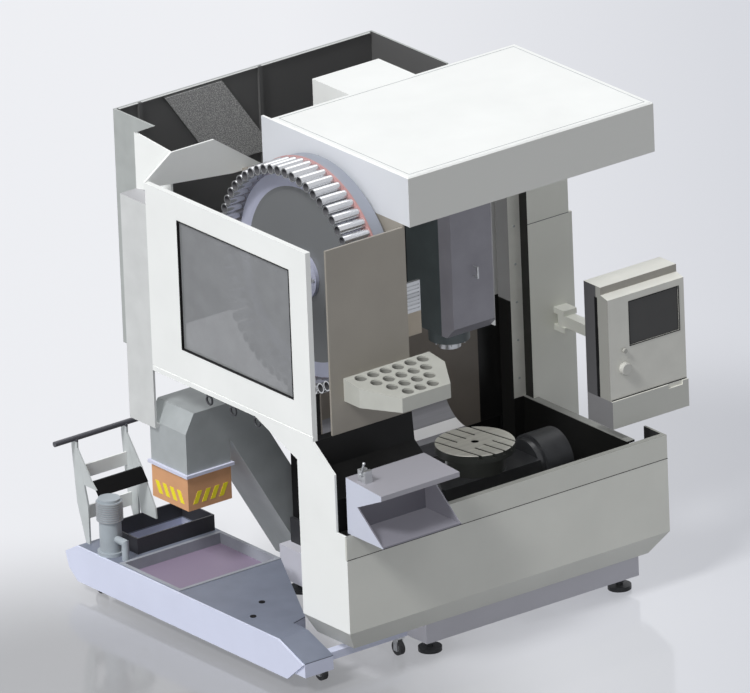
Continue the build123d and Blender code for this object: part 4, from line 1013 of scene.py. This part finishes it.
@dataclass
class Magazine:
    """Tool wheel, pockets, carrier and changer."""

    pocket_count: int = 60
    pocket_radius: float = 0.027
    pocket_wall: float = 0.006
    pocket_depth: float = 0.110
    pocket_sides: int = 20
    disc_set_back: float = 0.100
    disc_band: float = 0.002
    cap_radii: Pair = (0.085, 0.078)
    cap_height: float = 0.012
    hub_screws: int = 8
    hub_ring: float = 0.102
    hub_screw_radius: float = 0.009
    hub_screw_height: float = 0.008
    hub_screw_sunk: float = 0.002

    def build(self) -> None:
        """Dress the magazine and its changer, and add the hub's cap and the pockets."""
        chrome = Finish(
            "chromed_tube", (206, 207, 209), roughness=0.16, metallic=0.85, grain=Grain.BRUSHED,
            grain_share=0.03,
        )
        dress_all({
            "magazine_wheel": self._wheel_finish(),
            "magazine_ring": Finish("ring_paint", (180, 136, 134)),
            "tool_pockets": chrome,
            "magazine_carrier": CAST_DARK,
            "changer_unit": Finish("changer_paint", (190, 180, 164), roughness=0.5, grain_share=0.03),
            "changer_panel": STEEL,
        })
        self._hub()
        self._pockets(chrome)

    def _wheel_finish(self) -> Finish:
        """Lavender rim and drum round a grey disc.

        Returns:
            The wheel's finish.
        """
        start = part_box("magazine_wheel")[0].x
        mouths, ends = (corner.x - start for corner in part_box("tool_pockets"))
        face = mouths + self.disc_set_back
        return Finish("wheel_paint", (176, 179, 198), roughness=0.4, grain_share=0.02, zones=(
            zone_of("magazine_wheel", (116, 118, 120), x=(face - self.disc_band, face + self.disc_band)),
            zone_of("magazine_wheel", (146, 151, 162), x=(ends, None)),
        ))

    def _hub(self) -> None:
        """Cap over the axle's end, with a ring of screws on the hub."""
        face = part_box("magazine_wheel")[0].x
        middle = middle_of("magazine_wheel")
        y, z = middle.y, middle.z
        radius, tip = self.cap_radii
        shape = Shape()
        shape.rod((face + MILLIMETRE, y, z), (face - self.cap_height, y, z), radius, DISC_SIDES, tip)
        for back, up in ring(self.hub_screws, self.hub_ring):
            spot = Vector((face, y + back, z + up))
            shape.rod(
                spot + TO_RIGHT * self.hub_screw_sunk, spot - TO_RIGHT * self.hub_screw_height,
                self.hub_screw_radius, HEXAGON,
            )
        shape.piece("wheel_hub_cap", HUB_PAINT, "magazine", smooth=True)

    def _pockets(self, chrome: Finish) -> None:
        """Ring of chromed tubes with dark bores, in place of the plainer solids.

        Args:
            chrome: Finish of the tubes.
        """
        low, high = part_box("tool_pockets")
        middle = (low + high) / 2
        bore = Finish("bore_shadow", (118, 118, 122), roughness=0.5, metallic=0.3, grain_share=0.05)
        shape = Shape()
        for back, up in ring(self.pocket_count, (high.z - low.z) / 2 - self.pocket_radius):
            y, z = middle.y + back, middle.z + up
            shape.cup(
                Vector((low.x, y, z)), Vector((high.x, y, z)), self.pocket_radius, self.pocket_wall,
                self.pocket_depth, self.pocket_sides,
            )
        tubes = shape.piece("pocket_tubes", chrome, "magazine", smooth=True, second=bore)
        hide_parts("tool_pockets")


@dataclass
class Bench:
    """Tool rack, front tray and tool clamp."""

    rack_rows: tuple[int, ...] = (6, 5, 4, 3)
    rack_pitch: float = 0.077
    row_pitch: float = 0.076
    first_row: float = 0.044
    socket_radius: float = 0.030
    socket_wall: float = 0.0012
    socket_depth: float = 0.060
    socket_sides: int = 16
    rack_slope: float = 44.0 / 321.0
    bench_band: float = 0.046
    ball_radius: float = 0.008
    ball_inset: float = 0.005

    def build(self) -> None:
        """Dress the operator's rack, tray and clamp, line the sockets and give the lever its ball."""
        inner, band = (SKIN, -SKIN), -self.bench_band
        dress_all({
            "tool_rack": Finish("rack_paint", (179, 180, 173), grain_share=0.02),
            "front_tray": LAVENDER.variant(
                "tray_paint",
                zone_of("front_tray", (157, 156, 163), x=(SKIN, None), z=(band, None)),
                zone_of("front_tray", (128, 127, 136), x=inner, y=(None, -SKIN), z=(None, band)),
                colour=(196, 200, 214), roughness=0.42,
            ),
            "tray_clamp": STEEL,
            "clamp_lever": STEEL,
        })
        low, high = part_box("clamp_lever")
        tip = Vector(((low.x + high.x) / 2, low.y + self.ball_inset, high.z))
        Shape().ball(tip, self.ball_radius).piece("clamp_lever_ball", STEEL, "lever", smooth=True)
        self._socket_liners()

    def _socket_liners(self) -> None:
        """Grey cup in each of the rack's sockets."""
        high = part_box("tool_rack")[1]
        middle = middle_of("tool_rack").x
        shape = Shape()
        for row, count in enumerate(self.rack_rows):
            back = self.first_row + row * self.row_pitch
            z = high.z - (back + self.socket_radius) * self.rack_slope - MILLIMETRE
            for place in range(count):
                mouth = Vector((middle + (place - (count - 1) / 2) * self.rack_pitch, high.y - back, z))
                shape.cup(
                    mouth, mouth - WORLD_UP * self.socket_depth, self.socket_radius, self.socket_wall,
                    self.socket_depth - self.socket_wall, self.socket_sides,
                )
        liner = Finish("socket_liner", (136, 136, 131), roughness=0.5, grain_share=0.03)
        shape.piece("rack_socket_liners", liner, smooth=True, second=liner)


@dataclass
class Conveyor:
    """Chip conveyor with its banded outlet skirt."""

    flange_height: float = 0.017
    band_count: int = 4
    band_foot: float = 0.16
    band_height: float = 0.32
    band_start: float = 0.55
    band_width: float = 0.5
    band_lean: float = 0.030
    band_proud: float = 0.0015

    def build(self) -> None:
        """Dress the duct and mark the outlet skirt with slanted bands."""
        flange = zone_of("outlet_skirt", (206, 208, 226), z=(-self.flange_height, None))
        dress_all({
            "conveyor_duct": DULL_STEEL,
            "outlet_skirt": Finish(
                "outlet_paint", (208, 156, 114), roughness=0.5, grain_share=0.03, zones=(flange,)
            ),
        })
        self._bands()

    def _bands(self) -> None:
        """Slanted yellow bands on the skirt's left and front faces."""
        low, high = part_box("outlet_skirt")
        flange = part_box("conveyor_duct")[0].x - low.x
        left, front = low.x + flange, low.y + flange
        height = high.z - low.z
        bottom = low.z + height * self.band_foot
        top = bottom + height * self.band_height
        proud = self.band_proud
        shape = Shape()
        for along, start, end in ((Axis.Y, front, high.y - flange), (Axis.X, left, high.x - flange)):
            pitch = (end - start) / (self.band_count + 1)
            for index in range(self.band_count):
                first = start + pitch * (index + self.band_start)
                last = first + pitch * self.band_width
                lean = self.band_lean
                outline = ((first, bottom), (last, bottom), (last + lean, top), (first + lean, top))
                if along is Axis.Y:
                    corners = [Vector((left - proud, y, z)) for y, z in outline]
                    shape.plate(corners, Vector((2 * proud, 0.0, 0.0)))
                else:
                    corners = [Vector((x, front - proud, z)) for x, z in outline]
                    shape.plate(corners, Vector((0.0, 2 * proud, 0.0)))
        yellow = Finish("band_yellow", (236, 222, 40), roughness=0.5, grain=Grain.PLAIN)
        shape.piece("outlet_bands", yellow)


@dataclass
class Tank:
    """Roll-out coolant tank with strainer, pump, handle and casters."""

    blade_inset: float = 0.126
    blade_outset: float = 0.088
    blade: float = 0.006
    bar_depth: float = 0.028
    bar_back: float = 0.023
    gusset_half: float = 0.004
    gusset_top: Pair = (0.023, 0.046)
    near_gusset: tuple[Pair, ...] = ((0.170, 0.230), (0.066, 0.230))
    far_gusset: tuple[Pair, ...] = ((0.239, 0.391), (0.244, 0.445), (0.114, 0.445), (0.094, 0.340))
    brace: tuple[Pair, Pair] = ((0.134, 0.197), (0.184, 0.262))
    brace_depth: Point = (0.0, 0.006, 0.003)
    sump: tuple[Span, Span] = ((0.150, -0.090), (-0.399, -0.110))
    bin_height: float = 0.084
    strainer_floor: float = 0.0065
    fin_count: int = 9
    fin_radius: float = 0.068
    fin_half: float = 0.002
    fin_run: float = 0.105
    fin_drop: float = 0.014
    plug_spots: tuple[Pair, ...] = ((0.090, 0.520), (0.235, 0.640))
    plug_radius: float = 0.016
    plug_proud: float = 0.004
    plug_sunk: float = 0.002
    deck_drop: float = 0.004
    cap_radius: float = 0.020
    cap_wire: float = 0.0009
    corners: tuple[str, ...] = ("front_left", "front_right", "rear_left", "rear_right")

    def build(self) -> None:
        """Dress the tank and add the handle's gussets, the pump's fins, the plugs and the wheel caps."""
        paint = Finish("gusset_paint", (190, 195, 195), grain_share=0.02)
        rubber = Finish("caster_rubber", (58, 58, 60), roughness=0.8, grain_share=0.10, grain_scale=40.0)
        between = (self.blade_inset + self.blade, -self.blade_outset - self.blade)
        dress_all({
            "coolant_tank": LAVENDER.variant("tub_paint", zone_of(
                "coolant_tank", (44, 44, 48), x=self.sump[0], y=self.sump[1], z=(SKIN, None)
            )),
            "tank_cover": Finish(
                "tank_deck_paint", (114, 120, 135), roughness=0.5, grain_share=0.03,
                zones=(zone_of("tank_cover", (50, 50, 55), z=(SKIN - self.bin_height, None)),),
            ),
            "strainer_tray": Finish(
                "strainer_sheet", (148, 152, 160), roughness=0.5,
                zones=(zone_of("strainer_tray", (132, 119, 140), z=(None, self.strainer_floor)),),
            ),
            "coolant_pump": Finish("pump_paint", (158, 166, 172), grain_share=0.03),
            "tank_handle": paint.variant(
                "handle_paint",
                zone_of("tank_handle", WHITE.colour, x=between),
                zone_of("tank_handle", (72, 72, 78), z=(-self.bar_depth, None)),
            ),
            "caster_forks": STEEL,
        })
        dress_all({f"caster_wheel_{corner}": rubber for corner in self.corners})
        self._handle_gussets(paint)
        self._pump_fins()
        self._deck_plugs()
        self._wheel_caps()

    def _handle_gussets(self, paint: Finish) -> None:
        """Wide front plates on the handle's blades, and the dark brace between them.

        Args:
            paint: Finish of the plates.
        """
        low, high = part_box("tank_handle")
        left, right = low.x + self.blade_inset, high.x - self.blade_outset
        bar = Vector((0.0, high.y - self.bar_back, high.z - self.bar_depth / 2))
        edge = (self.gusset_top, self.brace[0])
        half = self.gusset_half
        shape = Shape()
        for x, rest in ((left, self.near_gusset), (right, self.far_gusset)):
            corners = [bar + Vector((x - half, -reach, -drop)) for reach, drop in edge + rest]
            shape.plate(corners, Vector((2 * half, 0.0, 0.0)))
        shape.piece("handle_gussets", paint, "tank")
        top, foot = (bar + Vector((left, -reach, -drop)) for reach, drop in self.brace)
        across = Vector((right - left, 0.0, 0.0))
        Shape().plate(
            [top, top + across, foot + across, foot], Vector(self.brace_depth)
        ).piece("handle_brace", BLACK_TRIM, "tank")

    def _pump_fins(self) -> None:
        """Cooling fins round the pump's motor."""
        low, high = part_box("coolant_pump")
        x, y = (low.x + high.x) / 2, high.y - (high.x - low.x) / 2
        shape = Shape()
        for index in range(self.fin_count):
            z = high.z - self.fin_drop - self.fin_run * (index + 0.5) / self.fin_count
            shape.rod((x, y, z - self.fin_half), (x, y, z + self.fin_half), self.fin_radius, DISC_SIDES)
        shape.piece("pump_fins", HUB_PAINT, "tank", smooth=True)

    def _deck_plugs(self) -> None:
        """Dark filler plugs on the deck."""
        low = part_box("coolant_tank")[0]
        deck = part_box("strainer_tray")[1].z - self.deck_drop
        shape = Shape()
        for across, back in self.plug_spots:
            x, y = low.x + across, low.y + back
            shape.rod((x, y, deck - self.plug_sunk), (x, y, deck + self.plug_proud), self.plug_radius)
        shape.piece("deck_plugs", BLACK_TRIM, "tank")

    def _wheel_caps(self) -> None:
        """Bright cap ring on both sides of each caster wheel."""
        for corner in self.corners:
            node = f"caster_wheel_{corner}"
            middle = middle_of(node)
            shape = Shape()
            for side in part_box(node):
                shape.hoop((side.x, middle.y, middle.z), TO_RIGHT, self.cap_radius, self.cap_wire)
            shape.piece(f"caster_cap_{corner}", STEEL, f"caster_{corner}", smooth=True)


@dataclass
class Pendant:
    """Swing-arm pendant with screen, knob and button."""

    bezel: float = 0.004
    bezel_span: Pair = (0.006, 0.002)
    seam: float = 0.004
    drawer: float = 0.145
    slot_set_back: float = 0.108
    slot_width: float = 0.022
    slot_height: float = 0.530
    slot_proud: float = 0.001
    ledge: float = 0.070
    step: float = 0.040

    def build(self) -> None:
        """Dress the pendant and add the bezel, the drawer's seam and the side slot."""
        dress_all({
            "pendant_box": self._box_finish(),
            "pendant_boom": PEARL,
            "pendant_screen": Finish("screen_glass", (46, 46, 44), roughness=0.3, grain_share=0.03, bump=0.0),
            "pendant_knob": Finish("knob_plastic", (190, 190, 184), roughness=0.4, grain_share=0.03),
            "pendant_button": Finish("button_plastic", (164, 164, 158), roughness=0.35, grain_share=0.03),
        })
        self._bezel()
        self._drawer_seam()
        self._side_slot()

    def _box_finish(self) -> Finish:
        """Pearl front and top, with painted shade on the front of the recessed top step, and a left side in
        three greys.

        Returns:
            The pendant's finish.
        """
        box, above = "pendant_box", (self.drawer, None)
        ledge = (self.ledge - SKIN, self.ledge + SKIN)
        return Finish("pendant_paint", (206, 206, 199), roughness=0.42, grain_share=0.015, zones=(
            zone_of(box, (186, 187, 181), y=LOW_FACE),
            # Painted shade on the front of the recessed top step
            zone_of(box, (152, 149, 142), y=ledge, z=(-self.step, None)),
            zone_of(box, (78, 78, 80), x=LOW_FACE, y=(self.slot_set_back, None), z=above),
            zone_of(box, (146, 146, 141), x=LOW_FACE, y=(None, self.slot_set_back), z=above),
            zone_of(box, (118, 118, 120), x=LOW_FACE, z=(None, self.drawer)),
        ))

    def _bezel(self) -> None:
        """Dark frame round the screen, on the panel's face."""
        low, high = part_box("pendant_screen")
        edge = self.bezel
        front, back = (low.y - offset for offset in self.bezel_span)
        Shape().border(
            (low.x - edge, front, low.z - edge), (high.x + edge, back, high.z + edge), edge, Axis.Y
        ).piece("screen_bezel", BLACK_TRIM, "pendant")

    def _drawer_seam(self) -> None:
        """Dark joint over the drawer."""
        low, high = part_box("pendant_box")
        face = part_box("pendant_screen")[0].y
        line, top = self.seam, low.z + self.drawer
        Shape().block(
            (low.x + line, face - 2 * line, top), (high.x - line, face + line, top + line)
        ).piece("drawer_seam", BLACK_TRIM, "pendant")

    def _side_slot(self) -> None:
        """Long black slot in the left side, over the vent."""
        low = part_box("pendant_box")[0]
        half, proud = self.slot_width / 2, self.slot_proud
        y, z = low.y + self.slot_set_back, low.z + self.drawer + proud
        Shape().block(
            (low.x - proud, y - half, z), (low.x + proud, y + half, z + self.slot_height)
        ).piece("pendant_side_slot", BLACK_TRIM, "pendant")


@dataclass
class Studio:
    """Pale floor, soft light and the camera at the photograph's angle."""

    frame_width: float = 3.690
    camera_far: float = 100.0
    sensor: float = 36.0
    right: Vector = field(default_factory=lambda: Vector((0.79367, -0.60725, -0.03686)))
    up: Vector = field(default_factory=lambda: Vector((0.24978, 0.26990, 0.92991)))
    datum: Vector = field(default_factory=lambda: Vector((0.9795, 0.917, 0.0)))
    aim_right: float = 0.1073
    aim_up: float = 1.7082
    key_from: Point = (-0.66, -0.16, 0.74)
    key_angle: float = 14.0
    key_strength: float = 1.9
    open_strength: float = 1.2
    rim_from: Point = (0.555, 0.337, 0.761)
    rim_angle: float = 36.0
    rim_strength: float = 0.4
    world_strength: float = 0.31
    mirror_strength: float = 0.85
    sky_colour: Colour = (250, 251, 255)
    floor_size: float = 60.0
    floor_colour: Colour = (164, 165, 168)
    floor_roughness: float = 0.10
    floor_glow: float = 0.42
    glow_near: Colour = (242, 243, 246)
    glow_far: Colour = (186, 189, 198)
    fade_start: float = -0.6
    fade_length: float = 2.4
    # Painted shade on the floor beside the tank: middle, reach, darkest level and core of the pool
    shade_middle: Point = (-1.880, -0.320, 0.0)
    shade_reach: Point = (2.2, 2.6, 1.0)
    shade_level: float = 0.47
    shade_core: float = 0.66

    def build(self) -> None:
        """Set the stage."""
        bpy.context.scene.view_settings.view_transform = "Standard"
        self._floor()
        self._light()
        self._camera()

    def _floor(self) -> None:
        """Wide pale floor."""
        mesh = bmesh.new()
        bmesh.ops.create_grid(mesh, x_segments=1, y_segments=1, size=self.floor_size / 2)
        data = bpy.data.meshes.new("studio_floor")
        mesh.to_mesh(data)
        mesh.free()
        floor = bpy.data.objects.new("studio_floor", data)
        bpy.context.scene.collection.objects.link(floor)
        data.materials.append(self._floor_material())

    def _floor_material(self) -> bpy.types.Material:
        """Satin floor that glows a little towards the viewer, so that shadows on it stay pale.

        Returns:
            The floor's material.
        """
        made = bpy.data.materials.new("studio_floor_paint")
        graph = Graph(made)
        shader = graph.tree.nodes["Principled BSDF"].inputs
        shader["Roughness"].default_value = self.floor_roughness
        place = graph.place()
        sideways = Vector((self.right.x, self.right.y, 0.0)).normalized()
        across = graph.add("Mapping", vector_type="TEXTURE", inputs={
            "Location": sideways * self.fade_start,
            "Rotation": (0.0, 0.0, math.atan2(sideways.y, sideways.x)),
            "Scale": (self.fade_length, self.fade_length, 1.0),
            "Vector": place,
        })
        fade = graph.add("TexGradient", {"Vector": across.outputs["Vector"]}).outputs["Fac"]
        tint = graph.ramp(fade, [(0.0, linear(self.glow_near)), (1.0, linear(self.glow_far))])
        shade = self._floor_shade(graph, place)
        graph.feed(shader["Base Color"], graph.mix("MULTIPLY", 1.0, linear(self.floor_colour), shade))
        graph.feed(shader["Emission Color"], graph.mix("MULTIPLY", 1.0, tint, shade))
        graph.feed(shader["Emission Strength"], graph.math("MULTIPLY", graph.seen(), self.floor_glow))
        return made

    def _floor_shade(self, graph: Graph, place: Socket) -> Socket:
        """Painted shade on the floor beside the tank: a soft grey pool that stands in for the tank's dark
        reflection.

        Args:
            graph: The floor's nodes.
            place: The object coordinates.

        Returns:
            The share of light that the floor keeps, as a colour.
        """
        inputs = {"Location": self.shade_middle, "Scale": self.shade_reach, "Vector": place}
        about = graph.add("Mapping", inputs, vector_type="TEXTURE").outputs["Vector"]
        pool = graph.add("TexGradient", {"Vector": about}, gradient_type="SPHERICAL").outputs["Fac"]
        core = (self.shade_level, self.shade_level, self.shade_level, 1.0)
        return graph.ramp(pool, [(0.0, (1.0, 1.0, 1.0, 1.0)), (self.shade_core, core)], "EASE")

    def _light(self) -> None:
        """Lamps from the upper left and right, two of them without shadows, and an even sky."""
        for name, strength, shadows, source, angle in (
            ("key_lamp", self.key_strength, True, self.key_from, self.key_angle),
            ("open_lamp", self.open_strength, False, self.key_from, self.key_angle),
            ("rim_lamp", self.rim_strength, False, self.rim_from, self.rim_angle),
        ):
            lamp = bpy.data.lights.new(name, "SUN")
            lamp.energy = strength
            lamp.angle = math.radians(angle)
            lamp.use_shadow = shadows
            placed = bpy.data.objects.new(name, lamp)
            placed.rotation_euler = Vector(source).to_track_quat("Z", "Y").to_euler()
            bpy.context.scene.collection.objects.link(placed)
        world = bpy.data.worlds.new("even_sky")
        graph = Graph(world)
        sky = graph.tree.nodes["Background"].inputs
        sky["Color"].default_value = linear(self.sky_colour)
        extra = self.mirror_strength - self.world_strength
        graph.feed(sky["Strength"], graph.math("MULTIPLY_ADD", graph.seen(), extra, self.world_strength))
        bpy.context.scene.world = world

    def _camera(self) -> None:
        """Very long lens, so that the view has next to no perspective."""
        back = self.right.cross(self.up).normalized()
        aim = self.right * self.aim_right + self.up * self.aim_up - self.datum
        data = bpy.data.cameras.new("photo_camera")
        data.sensor_fit = "HORIZONTAL"
        data.sensor_width = self.sensor
        data.lens = self.sensor * self.camera_far / self.frame_width
        data.clip_start = 1.0
        data.clip_end = 4 * self.camera_far
        camera = bpy.data.objects.new("photo_camera", data)
        turn = Matrix((self.right, self.up, back)).transposed()
        camera.matrix_world = Matrix.Translation(aim + back * self.camera_far) @ turn.to_4x4()
        bpy.context.scene.collection.objects.link(camera)
        bpy.context.scene.camera = camera


def main() -> None:
    """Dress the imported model, sub-assembly by sub-assembly, and set the stage."""
    logging.basicConfig(level=logging.INFO, format="%(name)s: %(message)s")
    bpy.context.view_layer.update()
    for assembly in (
        Enclosure(), PaintedLightPatch(), Drive(), WorkTable(), Magazine(), Bench(), Conveyor(), Tank(), Pendant()
    ):
        assembly.build()
    Studio().build()


if __name__ == "__main__":
    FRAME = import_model()
    main()
